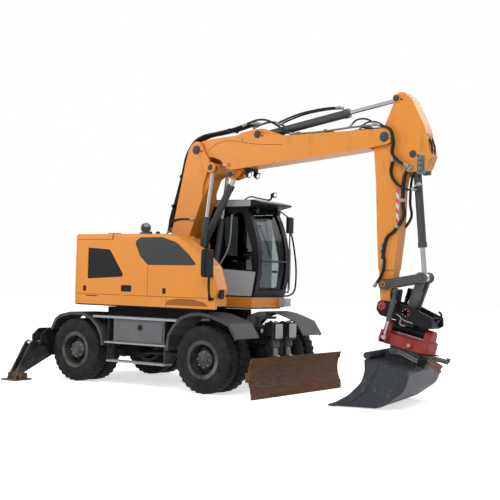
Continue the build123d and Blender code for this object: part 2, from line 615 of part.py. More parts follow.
def upper_deck():
    """Slewing platform: base plate, inner slewing ring, boom brackets, cab platform."""
    low, high = DECK_Z
    bay_x, cab_edge = BAY_FRONT_X, CAB_Y[0] - 10
    plan = [(TAIL_X, -1200), (1380, -1200, 150), (1380, NOSE_INNER_Y, 60), (bay_x, NOSE_INNER_Y, 60), (bay_x, cab_edge),
            (1190, cab_edge, 20), (1190, 1215, 80), (TAIL_X, 1215)]
    deck = top_plate(plan, low, high)
    deck += cylinder_z(0, 0, RING_BORE - 12, 1205, low)
    cab_base = block((CAB_REAR_X, 1192), (CAB_Y[0] - 10, CAB_Y[1] - 5), (high, CAB_FLOOR_Z))
    bulkhead = block((-640, -615), (-BAY_Y, CAB_Y[0] - 20), (high, HOOD_SEAM_Z - 10))
    # boom brackets: two thick plates and the foot pin, then the feet of the hoist cylinders
    fx, fz = FOOT
    hx, hz = HOIST_FOOT
    cheek = [(fx - 260, high), (fx - 150, fz + 40, 90), (fx - 30, fz + 150, 120), (fx + 150, fz + 40, 90),
             (hx - 140, hz + 90, 60), (hx - 100, high)]
    lug = [(hx - 110, high), (hx - 70, hz + 75, 70), (hx + 70, hz + 75, 70), (hx + 110, high)]
    foot_pin = cylinder_y(fx, fz, 55 - FIT, -LOWER_HALF - 70, LOWER_HALF + 70)
    hoist_pin = cylinder_y(hx, hz, 38 - FIT, HOIST_Y - 77, CAB_Y[0] - 12)
    brackets = [side_plate(cheek, LOWER_HALF + GAP, LOWER_HALF + GAP + 45) - foot_pin]
    for y in (HOIST_Y - 77, HOIST_Y + 55):
        brackets.append(side_plate(lug, y, y + 22 if y < HOIST_Y else CAB_Y[0] - 12) - hoist_pin)
    brackets.append(hoist_pin)
    brackets += [mirror(shape, about=Plane.XZ) for shape in brackets]
    return apart(deck, cab_base, bulkhead, foot_pin, *brackets)


def counterweight():
    """Tail casting, from the deck's underside up to the engine hood."""
    body = extrude(Plane.XY.offset(DECK_Z[0] + 5) * tail_plan(), amount=1960 - DECK_Z[0] - 5)
    return body


def engine_hood():
    """Hinged lid over the engine: top plate with rounded rim, and the rear apron."""
    front = HOOD_HINGE[0]
    z0, z1 = 1966.0, BODY_TOP_Z
    tail = extrude(Plane.XY.offset(z0) * tail_plan(), amount=z1 - z0)
    top = block((TAIL_X - 1, front), (-SIDE_WALL_Y, SIDE_WALL_Y), (HOOD_SEAM_Z + 6, z1))
    lid = tail + top
    rim = lid.edges().filter_by_position(Axis.Z, z1 - 1, z1 + 1)
    lid = fillet(rim.filter_by(lambda e: e.center().X < front - 10), 45)
    core = extrude(Plane.XY.offset(z0 - 1) * tail_plan(18), amount=z1 - z0 - 17)
    core += block((TAIL_X - 20, front - 18), (-SIDE_WALL_Y + 18, SIDE_WALL_Y - 18), (z0 - 1, z1 - 18))
    lid -= core
    lid += twin(cylinder_y(front + 4, HOOD_HINGE[1], 14, 500, 640))
    # louvres and the lamp bracket on top
    for x in range(-1480, -1100, 90):
        lid += block((x, x + 50), (-900, -300), (z1 - 2, z1 + 14))
    lid += block((-900, -700), (-980, -880), (z1 - 2, z1 + 30))
    return lid


NOSE_SIDE = [(TAIL_X + 4, SKIRT_TOP_Z + 4), (1560, SKIRT_TOP_Z + 4), (1590, 1600, 60), (1470, 1960, 120),
             (1190, 2210, 200), (800, BODY_TOP_Z - 40, 300), (500, BODY_TOP_Z, 100), (HOOD_HINGE[0] + 30, BODY_TOP_Z),
             (HOOD_HINGE[0] + 30, HOOD_SEAM_Z), (TAIL_X + 4, HOOD_SEAM_Z)]


def right_body():
    """Right side body: engine bay wall, tank and sloping nose with a rounded outer edge."""
    y_out, y_in = -SIDE_WALL_Y, -BAY_Y - 10
    body = side_plate(NOSE_SIDE, y_out, NOSE_INNER_Y)
    rim = body.edges().filter_by_position(Axis.Y, y_out - 1, y_out + 1).filter_by_position(Axis.Z, 1500, 2500)
    body = fillet(rim.filter_by(lambda e: e.center().X > HOOD_HINGE[0] + 40), 45)
    short = [p for p in NOSE_SIDE if p[0] < 500]
    body += side_plate([(520, SKIRT_TOP_Z + 4), (520, BODY_TOP_Z, 60), *short[1:], short[0]], NOSE_INNER_Y, y_in)
    body += block((TAIL_X + 4, 1580), (y_out, -1205), (DECK_Z[1] - 48, SKIRT_TOP_Z + 4))
    body += block((TAIL_X + 4, 1580), (y_out, NOSE_INNER_Y), (DECK_Z[1] + 1, SKIRT_TOP_Z + 4))
    body += block((TAIL_X + 4, 520), (NOSE_INNER_Y, y_in), (DECK_Z[1] + 1, SKIRT_TOP_Z + 4))
    bay = block((TAIL_X - 5, -650), (y_out + 45, y_in + 5), (DECK_Z[1] + 2, HOOD_SEAM_Z + 5))
    body -= bay
    body -= side_plate(INSET_PANEL, y_out - 1, y_out + 22)
    body -= side_plate(GLOSS_PANEL, y_out - 1, y_out + 14)
    return body


INSET_PANEL = [(-1088, 2243, 25), (-600, 2212, 60), (-305, 1814, 30), (-325, 1770, 25), (-1090, 1725, 25)]
LEFT_PANEL = [(-1088, 2243, 25), (-600, 2212, 60), (-450, 1900, 30), (-450, 1725, 25), (-1090, 1725, 25)]
GLOSS_PANEL = [(-69, 2340, 60), (56, 2410, 80), (500, 2412, 250), (800, 2330, 300), (1024, 2160, 200),
               (1215, 1974, 30), (220, 1968, 90), (47, 2110, 60)]


def side_panels():
    """Dark inserts of the right body, and the matching grille on the left."""
    y = -SIDE_WALL_Y
    panels = side_plate(INSET_PANEL, y + 12, y + 22) + side_plate(GLOSS_PANEL, y + 2, y + 14)
    panels += side_plate(LEFT_PANEL, -y - 22, -y - 12)
    return panels


def left_body():
    """Left side body behind the cab: cooler housing."""
    y_in, y_out = CAB_Y[0] + 10, SIDE_WALL_Y
    front = CAB_REAR_X - 60
    shape = [(TAIL_X + 4, SKIRT_TOP_Z + 4), (front, SKIRT_TOP_Z + 4), (front, BODY_TOP_Z - 90, 60),
             (front - 110, BODY_TOP_Z, 60), (HOOD_HINGE[0] + 30, BODY_TOP_Z), (HOOD_HINGE[0] + 30, HOOD_SEAM_Z),
             (TAIL_X + 4, HOOD_SEAM_Z)]
    body = side_plate(shape, y_in, y_out)
    body += block((TAIL_X + 4, front), (y_in, y_out), (DECK_Z[1] + 1, SKIRT_TOP_Z + 4))
    # painted edge of the cab platform: left side, front, and beside the boom
    edge_z = (DECK_Z[1] - 48, CAB_FLOOR_Z - 2)
    body += block((TAIL_X + 4, 1214), (CAB_Y[1] - 4, y_out), edge_z)
    body += block((1194, 1214), (CAB_Y[0] - 35, y_out), edge_z)
    body += block((BAY_FRONT_X + 2, 1214), (CAB_Y[0] - 35, CAB_Y[0] - 12), edge_z)
    body -= block((TAIL_X - 5, -650), (y_in - 5, y_out - 45), (DECK_Z[1] + 2, HOOD_SEAM_Z + 5))
    body -= side_plate(LEFT_PANEL, y_out - 22, y_out + 1)
    return body


def engine_block():
    return block((-1250, -760), (-620, 620), (DECK_Z[1] + 40, 2120)) + \
        block((-1200, -810), (-280, 280), (DECK_Z[1], DECK_Z[1] + 41))


# ================================================================ cab
def cab_side(inset=0.0, rear=0.0, low=0.0, high=0.0):
    """Side view of the cab as a face in x, z, drawn in by inset at the curved front."""
    points = [(x - inset, z) for x, z in CAB_FRONT]
    bottom, bulge, top = points
    bottom = (bottom[0], bottom[1] + low)
    top = (top[0], top[1] - high)
    back = CAB_REAR_X + rear
    edges = [Line((back, bottom[1]), bottom), ThreePointArc(bottom, bulge, top),
             Line(top, (back, top[1])), Line((back, top[1]), (back, bottom[1]))]
    return make_face(Wire(edges))


def cab_solid(inset=0.0, low=0.0, high=0.0):
    """Solid of the cab's outside, or a smaller one inside it."""
    y0, y1 = CAB_Y[0] + inset, CAB_Y[1] - inset
    solid = extrude(Plane.XZ.offset(-y1) * cab_side(inset, inset, low, high), amount=y1 - y0)
    return solid


RIGHT_WINDOWS = ([(-250, 1960, 40), (480, 1960, 40), (480, 2900, 40), (-250, 2900, 40)],
                 [(570, 1960, 40), (1190, 1930, 40), (1165, 2300, 300), (960, 2900, 60), (570, 2900, 40)])
REAR_LEFT_WINDOW = [(-250, 1960, 40), (230, 1960, 40), (230, 2900, 40), (-250, 2900, 40)]
DOOR_OPENING = [(330, 1520, 60), (1130, 1520, 60), (1205, 2080, 500), (985, 2915, 60), (330, 2915, 60)]
DOOR_LEAF = [(338, 1528, 60), (1122, 1528, 60), (1197, 2080, 500), (978, 2907, 60), (338, 2907, 60)]
DOOR_WINDOW = [(400, 1640, 60), (1075, 1640, 60), (1120, 2080, 500), (930, 2850, 60), (400, 2850, 60)]
FRONT_WINDOW = ((CAB_Y[0] + 110, 1600), (CAB_Y[1] - 110, 2910))
REAR_WINDOW = ((CAB_Y[0] + 110, 1900), (CAB_Y[1] - 110, 2850))


def window_cutters():
    """Prisms that cut the fixed windows: sides, windscreen and rear."""
    cutters = [side_plate(shape, CAB_Y[0] - 5, CAB_Y[0] + CAB_WALL + 5) for shape in RIGHT_WINDOWS]
    cutters.append(side_plate(REAR_LEFT_WINDOW, CAB_Y[1] - CAB_WALL - 5, CAB_Y[1] + 5))
    for (y0, z0), (y1, z1), x0, x1 in ((*FRONT_WINDOW, 900, 1400), (*REAR_WINDOW, CAB_REAR_X - 5, CAB_REAR_X + 60)):
        pane = [(y0, z0, 50), (y1, z0, 50), (y1, z1, 50), (y0, z1, 50)]
        cutters.append(front_plate(pane, x0, x1))
    return cutters


def cab_shell():
    """Safety cab: pillars and lower panels, hollow, with the window and door openings cut."""
    shell = cab_solid() - cab_solid(CAB_WALL, low=35, high=40)
    for cutter in window_cutters():
        shell -= cutter
    shell -= side_plate(DOOR_OPENING, CAB_Y[1] - CAB_WALL - 5, CAB_Y[1] + 5)
    # fixed halves of the door hinges
    hx, hy = DOOR_HINGE
    for z in (1750, 2650):
        shell += block((hx - 45, hx + 12), (CAB_Y[1] - 5, hy + 12), (z - 60, z - 6))
    return shell


def glazing():
    """Fixed panes of the cab, set in the middle of the frame's thickness."""
    layer = cab_solid(20, low=20, high=20) - cab_solid(27, low=27, high=27)
    panes = None
    for cutter in window_cutters():
        pane = layer & cutter
        panes = pane if panes is None else panes + pane
    return panes


def cab_door():
    hx, hy = DOOR_HINGE
    y0, y1 = CAB_Y[1] - CAB_WALL + 4, CAB_Y[1]
    door = side_plate(DOOR_LEAF, y0, y1) - side_plate(DOOR_WINDOW, y0 - 1, y1 + 1)
    for z in (1750, 2650):
        door += block((hx + 14, 400), (y1 + 3, hy + 12), (z, z + 50))
        door += block((350, 400), (y1 - 5, y1 + 4), (z, z + 50))
        door += block((hx - 12, hx + 16), (hy - 12, hy + 12), (z, z + 50))
    door += side_plate([(950, 1900, 15), (1050, 1900, 15), (1050, 1940, 15), (950, 1940, 15)], y1 - 2, y1 + 28)
    return door


def door_glass():
    y = CAB_Y[1] - CAB_WALL / 2
    return side_plate(DOOR_WINDOW, y - 3, y + 4)


def cab_roof():
    """Roof shell with its front visor and work lamps."""
    z0, z1 = CAB_TOP_Z + 2, CAB_TOP_Z + ROOF_THICKNESS
    shape = [(CAB_REAR_X + 10, z0), (1060, z0), (1170, z0 + 20, 10), (1330, z0 + 60, 20), (1340, z0 + 85, 10),
             (1150, z1 - 20, 60), (CAB_REAR_X + 10, z1, 60)]
    roof = side_plate(shape, CAB_Y[0] + 5, CAB_Y[1] - 5)
    for y in (CAB_Y[0] + 150, CAB_Y[1] - 150):
        roof += cylinder_between((1100, y, z0 - 45), (1170, y, z0 - 55), 48)
        roof += block((1110, 1140), (y - 15, y + 15), (z0 - 30, z0 + 10))
    return roof


def seat():
    """Operator's seat with armrests, joysticks and pedestal."""
    y = (CAB_Y[0] + CAB_Y[1]) / 2
    parts = block((50, 520), (y - 240, y + 240), (1960, 2080))
    parts += side_plate([(30, 1960), (160, 1960, 30), (60, 2700, 60), (-60, 2700, 60)], y - 230, y + 230)
    parts += side_plate([(-30, 2690), (60, 2690), (45, 2860, 40), (-40, 2860, 40)], y - 130, y + 130)
    parts += block((120, 420), (y - 150, y + 150), (CAB_FLOOR_Z + 35, 1965))
    for s in (-1, 1):
        parts += block((80, 560), (y + s * 300 - 55, y + s * 300 + 55), (2120, 2190))
        parts += block((100, 240), (y + s * 245 - 40, y + s * 245 + 40), (1990, 2150))
        parts += cylinder_between((500, y + s * 300, 2180), (530, y + s * 300, 2330), 22)
    return parts


def steering_column():
    y = (CAB_Y[0] + CAB_Y[1]) / 2
    column = cylinder_between((998, y, 1535), (860, y, 2230), 45)
    column += block((930, 1060), (y - 60, y + 60), (CAB_FLOOR_Z + 35, 1560))
    wheel_plane = Plane((850, y, 2225), z_dir=(-0.19, 0, 0.98))
    column += wheel_plane * (Cylinder(195, 26) - Cylinder(168, 30))
    column += wheel_plane * Box(40, 350, 20)
    for s in (-1, 1):
        column += block((900, 1050), (y + s * 130 - 50, y + s * 130 + 50), (CAB_FLOOR_Z + 35, 1560))
    return column


def mirrors():
    """Door-side and nose-side mirrors on their arms."""
    head = block((1480, 1530), (-1436, -1258), (1800, 2220))
    arm = cylinder_between((1500, -1320, 1810), (1500, -1310, 1440), 14)
    arm += cylinder_between((1500, -1310, 1450), (1500, -SIDE_WALL_Y - 1, 1450), 14)
    left = block((1190, 1235), (1290, 1460), (2600, 2880))
    rod = cylinder_between((1215, 1380, 2610), (1230, 1340, 1560), 12)
    rod += cylinder_between((1230, 1340, 1570), (1150, CAB_Y[1] + 14, 1560), 12)
    top = cylinder_between((1215, 1380, 2850), (1000, CAB_Y[1] + 10, 3040), 12)
    return head + arm, left + rod + top


# ================================================================ boom and stick
LOWER_BOOM = [(FOOT[0] - 130, FOOT[1] - 20, 120), (-290, 2050, 600), (-158, 2568, 900), (30, 3414, 900),
              (90, 3700, 200), (ELBOW[0] - 150, ELBOW[1] + 40, 100), (ELBOW[0] - 40, ELBOW[1] + 150, 140),
              (ELBOW[0] + 90, ELBOW[1] + 130, 110), (ELBOW[0] + 150, ELBOW[1] - 20, 140),
              (HOIST_EYE[0] - 60, HOIST_EYE[1] + 85, 60), (HOIST_EYE[0] + 85, HOIST_EYE[1] + 50, 80),
              (HOIST_EYE[0] + 60, HOIST_EYE[1] - 90, 80), (600, 3440, 60), (212, 2481, 900),
              (FOOT[0] + 135, FOOT[1] - 20, 100), (FOOT[0], FOOT[1] - 140, 110)]
ELBOW_CUT = [(-100, 3625), (ELBOW[0] + 40, 3625), (ELBOW[0] + 178, 3690, 60), (760, 3712),
             (760, ELBOW[1] + 240), (-100, ELBOW[1] + 240)]
HOIST_CUT = [(470, 3150), (900, 3150), (900, 3760), (600, 3760), (560, 3560), (475, 3330)]


def boom_lower():
    boom = side_plate(LOWER_BOOM, -LOWER_HALF, LOWER_HALF)
    # fork for the upper boom, and the narrow lug between the hoist cylinders
    boom -= side_plate(ELBOW_CUT, -ELBOW_LUG_HALF - GAP, ELBOW_LUG_HALF + GAP)
    boom -= side_pair(HOIST_CUT, ELBOW_LUG_HALF + 2, LOWER_HALF + 1)
    boom += cylinder_y(ELBOW[0], ELBOW[1], 60 - FIT, -LOWER_HALF - 12, LOWER_HALF + 12)
    boom = pinned(boom, FOOT, 55, -LOWER_HALF, LOWER_HALF)
    # lugs for the base of the adjusting cylinder
    ax, az = ADJUST_BASE
    lug = [(60, az + 170), (ax + 55, az + 70, 60), (ax + 70, az - 60, 60), (ax - 40, az - 90, 60), (20, az - 230)]
    boom += side_pair(lug, 68, 102)
    boom += cylinder_y(ax, az, 38 - FIT, -102, 102)
    return boom


UPPER_BOOM = [(ELBOW[0] - 150, ELBOW[1] + 20, 120), (ELBOW[0] - 130, ELBOW[1] + 100, 120), (450, 4085, 200),
              (1480, 4150, 900), (2065, 4075, 600), (3700, 4078, 100), (STICK_PIN[0] + 125, STICK_PIN[1] + 125, 120),
              (STICK_PIN[0] + 135, STICK_PIN[1] - 100, 110), (3177, 3760, 700), (981, 3564, 250), (835, 3722, 100),
              (620, 3805, 200), (470, 3800, 150), (ELBOW[0] - 40, ELBOW[1] - 155, 140)]
ELBOW_SIDE_CUT = [(0, 3600), (845, 3600), (835, 3722), (578, 3914), (520, 4080), (520, 4200), (0, 4200)]


def boom_upper():
    boom = side_plate(UPPER_BOOM, -UPPER_HALF, UPPER_HALF)
    boom -= side_pair(ELBOW_SIDE_CUT, ELBOW_LUG_HALF, UPPER_HALF + 1)
    # fork at the stick end, slot for the stick cylinder
    boom -= block((STICK_PIN[0] - 295, 4200), (-STICK_HALF - GAP, STICK_HALF + GAP), (3500, 4300))
    hx, hz = HUMP_PIN
    boom -= block((hx - 110, 2330), (-80, 80), (hz - 95, hz + 300))
    hump = [(900, 4060), (1200, 4180, 200), (hx - 60, hz + 100, 120), (hx + 70, hz + 98, 120), (2065, 4070),
            (2065, 4000), (900, 4000)]
    boom += side_pair(hump, 80, 120)
    boom += cylinder_y(hx, hz, 48 - FIT, -140, 140)
    boom += cylinder_y(STICK_PIN[0], STICK_PIN[1], 55 - FIT, -UPPER_HALF - 14, UPPER_HALF + 14)
    boom = pinned(boom, ELBOW, 60, -ELBOW_LUG_HALF, ELBOW_LUG_HALF)
    # lugs for the eye of the adjusting cylinder
    ex, ez = ADJUST_EYE
    lug = [(ex - 150, ez + 230), (ex - 85, ez - 40, 70), (ex, ez - 100, 80), (ex + 90, ez - 40, 70),
           (ex + 260, ez + 160)]
    boom += side_pair(lug, 52, 84)
    boom += side_pair([(ex - 60, ez - 50, 50), (ex + 60, ez - 50, 50), (ex + 60, ez + 50, 50),
                       (ex - 60, ez + 50, 50)], 84, 96)
    return boom


STICK = [(3635, 3758, 60), (3650, 3900, 300), (3809, 4136, 300), (4010, 4610, 60), (4110, 4610, 60),
         (4240, 4504, 80), (4456, 4080, 900), (4561, 3640, 70), (4477, 3427, 90), (4130, 3412, 120),
         (4090, 3160, 700), (4075, 2574, 900), (4005, 1973, 900),
         (BUCKET_PIN[0] + 92, 1560, 120), (BUCKET_PIN[0] + 70, BUCKET_PIN[1] - 70, 75),
         (BUCKET_PIN[0] - 70, BUCKET_PIN[1] - 70, 75), (BUCKET_PIN[0] - 90, 1560, 120), (3758, 1820, 600),
         (3710, 2570, 900), (3680, 3260, 900)]
EYE_SLOT = [(3700, 4380), (3830, 4340, 40), (4110, 4340, 60), (4140, 4420, 60), (4140, 4700), (3700, 4700)]


def stick():
    arm = side_plate(STICK, -STICK_HALF, STICK_HALF)
    for s in (-1, 1):
        y = sorted((s * STICK_END_HALF, s * (STICK_HALF + 1)))
        arm -= block((3500, 4300), y, (1200, 1980))
    # slots for the eye of the stick cylinder and the base of the bucket cylinder
    arm -= side_plate(EYE_SLOT, -66, 66)
    bx, bz = BUCKET_CYL_BASE
    arm -= block((bx - 125, bx + 155), (-74, 74), (3300, bz + 110))
    arm += cylinder_y(bx, bz, 46 - FIT, -STICK_HALF - 12, STICK_HALF + 12)
    arm += cylinder_y(BUCKET_PIN[0], BUCKET_PIN[1], 88, -158, 158)
    arm += cylinder_y(BUCKET_PIN[0], BUCKET_PIN[1], 45 - FIT, -CHEEK_Y[1] - 14, CHEEK_Y[1] + 14)
    arm += cylinder_y(ROCKER_PIN[0], ROCKER_PIN[1], 40 - FIT, -170, 170)
    arm += side_pair([(STICK_CYL_EYE[0] - 60, STICK_CYL_EYE[1] - 60, 55), (STICK_CYL_EYE[0] + 60, STICK_CYL_EYE[1] - 60, 55),
                      (STICK_CYL_EYE[0] + 60, STICK_CYL_EYE[1] + 60, 55), (STICK_CYL_EYE[0] - 60, STICK_CYL_EYE[1] + 60, 55)],
                     STICK_HALF, STICK_HALF + 14)
    arm = pinned(arm, STICK_PIN, 55, -STICK_HALF, STICK_HALF)
    return arm


def bar(a, b, half_width, end_radius, y_low, y_high):
    """Straight link plate between two (x, z) pins with rounded ends."""
    length = dist(a, b)
    ux, uz = (b[0] - a[0]) / length, (b[1] - a[1]) / length
    corners = [(a[0] - uz * half_width, a[1] + ux * half_width), (b[0] - uz * half_width, b[1] + ux * half_width),
               (b[0] + uz * half_width, b[1] - ux * half_width), (a[0] + uz * half_width, a[1] - ux * half_width)]
    plate = side_pair(corners, y_low, y_high)
    for p in (a, b):
        plate += twin(cylinder_y(p[0], p[1], end_radius, y_low, y_high))
    return plate


def rocker():
    arms = bar(ROCKER_PIN, LINK_PIN, 62, 80, 122, 157)
    arms += twin(cylinder_y(LINK_PIN[0], LINK_PIN[1], 42 - FIT, 58, 172))
    return pinned(arms, ROCKER_PIN, 40, -170, 170)


def head_point(x, z):
    """World (x, z) of a point given in the tool head's own axes from the bucket pin."""
    a = math.radians(TOOL_PITCH)
    return (BUCKET_PIN[0] + x * math.cos(a) + z * math.sin(a), BUCKET_PIN[1] - x * math.sin(a) + z * math.cos(a))


def link():
    eye = head_point(HEAD_LINK, 0)
    cheeks = bar(LINK_PIN, eye, 60, 72, 60, 116)
    near = mid(LINK_PIN, eye, 0.42)
    far = mid(LINK_PIN, eye, 0.80)
    web = bar(near, far, 45, 45, 0, 62)
    cheeks += web
    cheeks += cylinder_y(eye[0], eye[1], 72, -158, 158)
    return pinned(cheeks, LINK_PIN, 42, -120, 120)


def arm_rams():
    """Barrels and rods of the hoist, adjusting, stick and bucket cylinders."""
    rams = {}
    barrel, rod = ram(HOIST_FOOT, HOIST_EYE, HOIST_Y, (52, 34), 1230, 1515, (98, 90), 38)
    rod += cylinder_y(HOIST_EYE[0], HOIST_EYE[1], 50, HOIST_Y + 44, HOIST_Y + 56)
    rams["hoist"] = (twin(barrel), twin(rod))
    rams["adjust"] = ram(ADJUST_BASE, ADJUST_EYE, 0, (60, 36), 1140, 1246, (124, 92), 38)
    rams["stick"] = ram(HUMP_PIN, STICK_CYL_EYE, 0, (66, 32), 1610, 1815, (146, 116), 48)
    rams["bucket"] = ram(BUCKET_CYL_BASE, LINK_PIN, 0, (60, 36), 1377, 1479, (124, 96), 46, spare=108)
    return rams


# ================================================================ tool head and bucket
def on_head(shape):
    """Place a shape built about the bucket pin at the origin."""
    return Pos(BUCKET_PIN[0], 0, BUCKET_PIN[1]) * Rotation(0, TOOL_PITCH, 0) * shape


def tilt_frame():
    cheek = [(-85, -70, 60), (-85, 72, 70), (70, 92, 60), (431, 103, 60), (812, 31, 20), (851, -94, 30),
             (790, -140, 30), (0, -140, 60)]
    head = side_pair(cheek, *CHEEK_Y)
    head -= cylinder_y(0, 0, 45, -300, 300)
    head += block((10, 800), (-166, 166), (-140, -118))
    head += block((300, 560), (-200, 200), (-184, -166)) + side_pair([(300, -184), (560, -184), (560, -130), (300, -130)], *CHEEK_Y)
    head += block((770, 800), (-166, 166), (-118, 20))
    head += twin(cylinder_y(HEAD_LINK, 0, 60, CHEEK_Y[0], CHEEK_Y[1] + 16))
    # bearing tube of the tilt axis
    tube = cylinder_between((190, 0, TILT_Z), (700, 0, TILT_Z), 78)
    tube += block((200, 690), (-60, 60), (TILT_Z, -120))
    tube -= cylinder_between((100, 0, TILT_Z), (800, 0, TILT_Z), 45)
    head += tube
    # room for the eye of the link
    head -= block((318, 538), (-CHEEK_Y[0], CHEEK_Y[0]), (-166, -60))
    # ears for the tilt cylinders
    for s in (-1, 1):
        for x in (TILT_RAM_X - 62, TILT_RAM_X + 40):
            ear = [(CHEEK_Y[0] + 5, -60), (CHEEK_Y[0] + 5, 60), (CHEEK_Y[1] + 5, TILT_RAM_TOP[1] + 55, 20),
                   (TILT_RAM_TOP[0] + 48, TILT_RAM_TOP[1] + 40, 40), (TILT_RAM_TOP[0] + 48, TILT_RAM_TOP[1] - 40, 40)]
            plate = front_plate(ear, x, x + 22)
            head += plate if s > 0 else mirror(plate, about=Plane.XZ)
        head += cylinder_between((TILT_RAM_X - 62, s * TILT_RAM_TOP[0], TILT_RAM_TOP[1]),
                                 (TILT_RAM_X + 62, s * TILT_RAM_TOP[0], TILT_RAM_TOP[1]), 20 - FIT)
    # lifting hook on the front edge
    hook = Pos(812, 0, 62) * Rotation(90, 0, 0) * Torus(52, 16)
    hook -= block((740, 812), (-20, 20), (40, 130))
    hook += block((780, 836), (-30, 30), (-30, 22))
    head += hook
    return on_head(head)


def rolled_point(y, z, angle):
    """A (y, z) point turned about the tilt axis, in the head's axes."""
    a = math.radians(angle)
    return (y * math.cos(a) - (z - TILT_Z) * math.sin(a), TILT_Z + y * math.sin(a) + (z - TILT_Z) * math.cos(a))


def rolled(shape):
    """Turn a shape about the tilt axis by the roll in which the machine stands."""
    return Pos(0, 0, TILT_Z) * Rotation(TOOL_ROLL, 0, 0) * Pos(0, 0, -TILT_Z) * shape


def tilt_ram(side):
    """Tilt cylinder in the head's axes, on the left (1) or right (-1)."""
    top = (side * TILT_RAM_TOP[0], TILT_RAM_TOP[1])
    lug = (side * TILT_RAM_EYE[0], TILT_RAM_EYE[1])
    eye = rolled_point(*lug, TOOL_ROLL)
    length = dist(top, eye)
    shortest = min(dist(top, rolled_point(*lug, angle)) for angle in (-TILT_LIMIT, TILT_LIMIT))

    def at(t):
        y, z = mid(top, eye, t / length)
        return (TILT_RAM_X, y, z)

    def boss(p, radius):
        return cylinder_between((TILT_RAM_X - 34, p[0], p[1]), (TILT_RAM_X + 34, p[0], p[1]), radius)

    bore_start = 55
    rod_length = shortest - bore_start - 20
    barrel = cylinder_between(at(26), at(TILT_BARREL), 38) + boss(top, 50)
    barrel -= cylinder_between((TILT_RAM_X - 60, top[0], top[1]), (TILT_RAM_X + 60, top[0], top[1]), 20)
    barrel -= cylinder_between(at(bore_start), at(TILT_BARREL + 10), 20 + FIT)
    rod = cylinder_between(at(length - rod_length), at(length - 20), 20) + boss(eye, 34)
    return on_head(barrel), on_head(rod)


def rotor_housing():
    plan = [(40, -150, 30), (150, -300, 40), (720, -300, 60), (850, -150, 40), (850, 150, 40), (720, 300, 60),
            (150, 300, 40), (40, 150, 30)]
    z0, z1 = ROTOR_Z
    house = top_plate(plan, z0, z1)
    lug = [(-110, z1 - 10), (110, z1 - 10), (72, TILT_Z + 72, 66), (-72, TILT_Z + 72, 66)]
    house += front_plate(lug, 60, 180) + front_plate(lug, 710, 830)
    house += cylinder_between((60, 0, TILT_Z), (830, 0, TILT_Z), 45 - FIT)
    house += cylinder_between((609, -320, -420), (609, 320, -420), 55)
    # ears for the tilt cylinder rods
    for s in (-1, 1):
        for x in (TILT_RAM_X - 62, TILT_RAM_X + 40):
            ear = [(250, -380), (250, z0 + 5), (TILT_RAM_EYE[0] + 20, z0 + 5), (TILT_RAM_EYE[0] + 46, -440, 30),
                   (TILT_RAM_EYE[0] + 30, -378, 30)]
            plate = front_plate(ear, x, x + 22)
            house += plate if s > 0 else mirror(plate, about=Plane.XZ)
    # seat of the rotor
    house -= cylinder_z(ROTOR_X, 0, 175, z0 - 1, z0 + 40)
    return on_head(rolled(house))


def turned(shape):
    """Turn a shape about the rotor axis by the bucket's yaw, in the head's axes."""
    return rolled(Pos(ROTOR_X, 0, 0) * Rotation(0, 0, BUCKET_YAW) * Pos(-ROTOR_X, 0, 0) * shape)


def quick_hitch():
    z0, z1 = HITCH_Z
    hitch = cylinder_z(ROTOR_X, 0, 170, z1 - 5, ROTOR_Z[0] + 35)
    hitch += cylinder_z(ROTOR_X, 0, 240, z1 - 45, z1)
    cheek = [(255, -560), (255, -625, 30), (330, -640), (900, -540), (900, -532), (700, -528), (300, -528)]
    hitch += side_pair(cheek, 200, 240)
    hitch += block((300, 760), (-205, 205), (-575, -540))
    for y, z in ((-150, -545), (-95, -565), (-30, -545)):
        hitch += cylinder_between((700, y, z), (1115, y, z), 20)
    hitch += block((640, 1000), (-185, 10), (-578, -534))
    hitch += block((1060, 1110), (-20, 30), (-552, -508))
    return on_head(turned(hitch))


def bucket():
    """Wide grading bucket: wrapped sheet with end plates, cutting edge and hitch ears."""
    half, sheet = BUCKET_WIDTH / 2, BUCKET_SHEET
    lip_x, lip_z = BUCKET_LIP
    outer = [BUCKET_LIP, (505, -1340, 260), (800, -1010, 260), (808, -733, 40), (160, -712, 40), (130, -740)]
    inner = [(lip_x - 60, lip_z + sheet), (lip_x, lip_z + sheet + 2), (498, -1340 + sheet + 4, 240),
             (800 - sheet - 2, -1005, 240), (808 - sheet - 2, -733 - sheet, 20), (170, -712 - sheet), (-300, -712 - sheet)]
    shell = side_plate(outer, -half, half)
    shell -= side_plate(inner, -half + sheet, half - sheet)
    # concave front edge of the end plates, with a thicker band along it
    front = [(130, -735), (172, -880, 250), (168, -1050, 300), (20, -1285, 400), (lip_x + 14, lip_z + 10)]
    shell -= side_plate([(-500, lip_z + 10), *reversed(front), (120, -600), (-500, -600)], -half - 1, half + 1)
    band = [(344, -742), (306, -950, 300), (262, -1130, 300), (lip_x + 260, lip_z + 60)]
    shell += side_pair([*front, *reversed(band)], half - 1, half + 12)
    shell += side_plate([(lip_x - 18, lip_z - 6), (lip_x + 95, lip_z + 14), (lip_x + 95, lip_z + 48), (lip_x, lip_z + 26)],
                        -half - 12, half + 12)
    # torsion tube along the top edge, ears in the hitch
    shell += cylinder_y(150, -668, 50, -half - 12, half + 12)
    for y in (-196, 160):
        shell += side_plate([(140, -722), (150, -640, 30), (330, -590, 40), (560, -590, 40), (640, -722)], y, y + 34)
    return on_head(turned(shell))


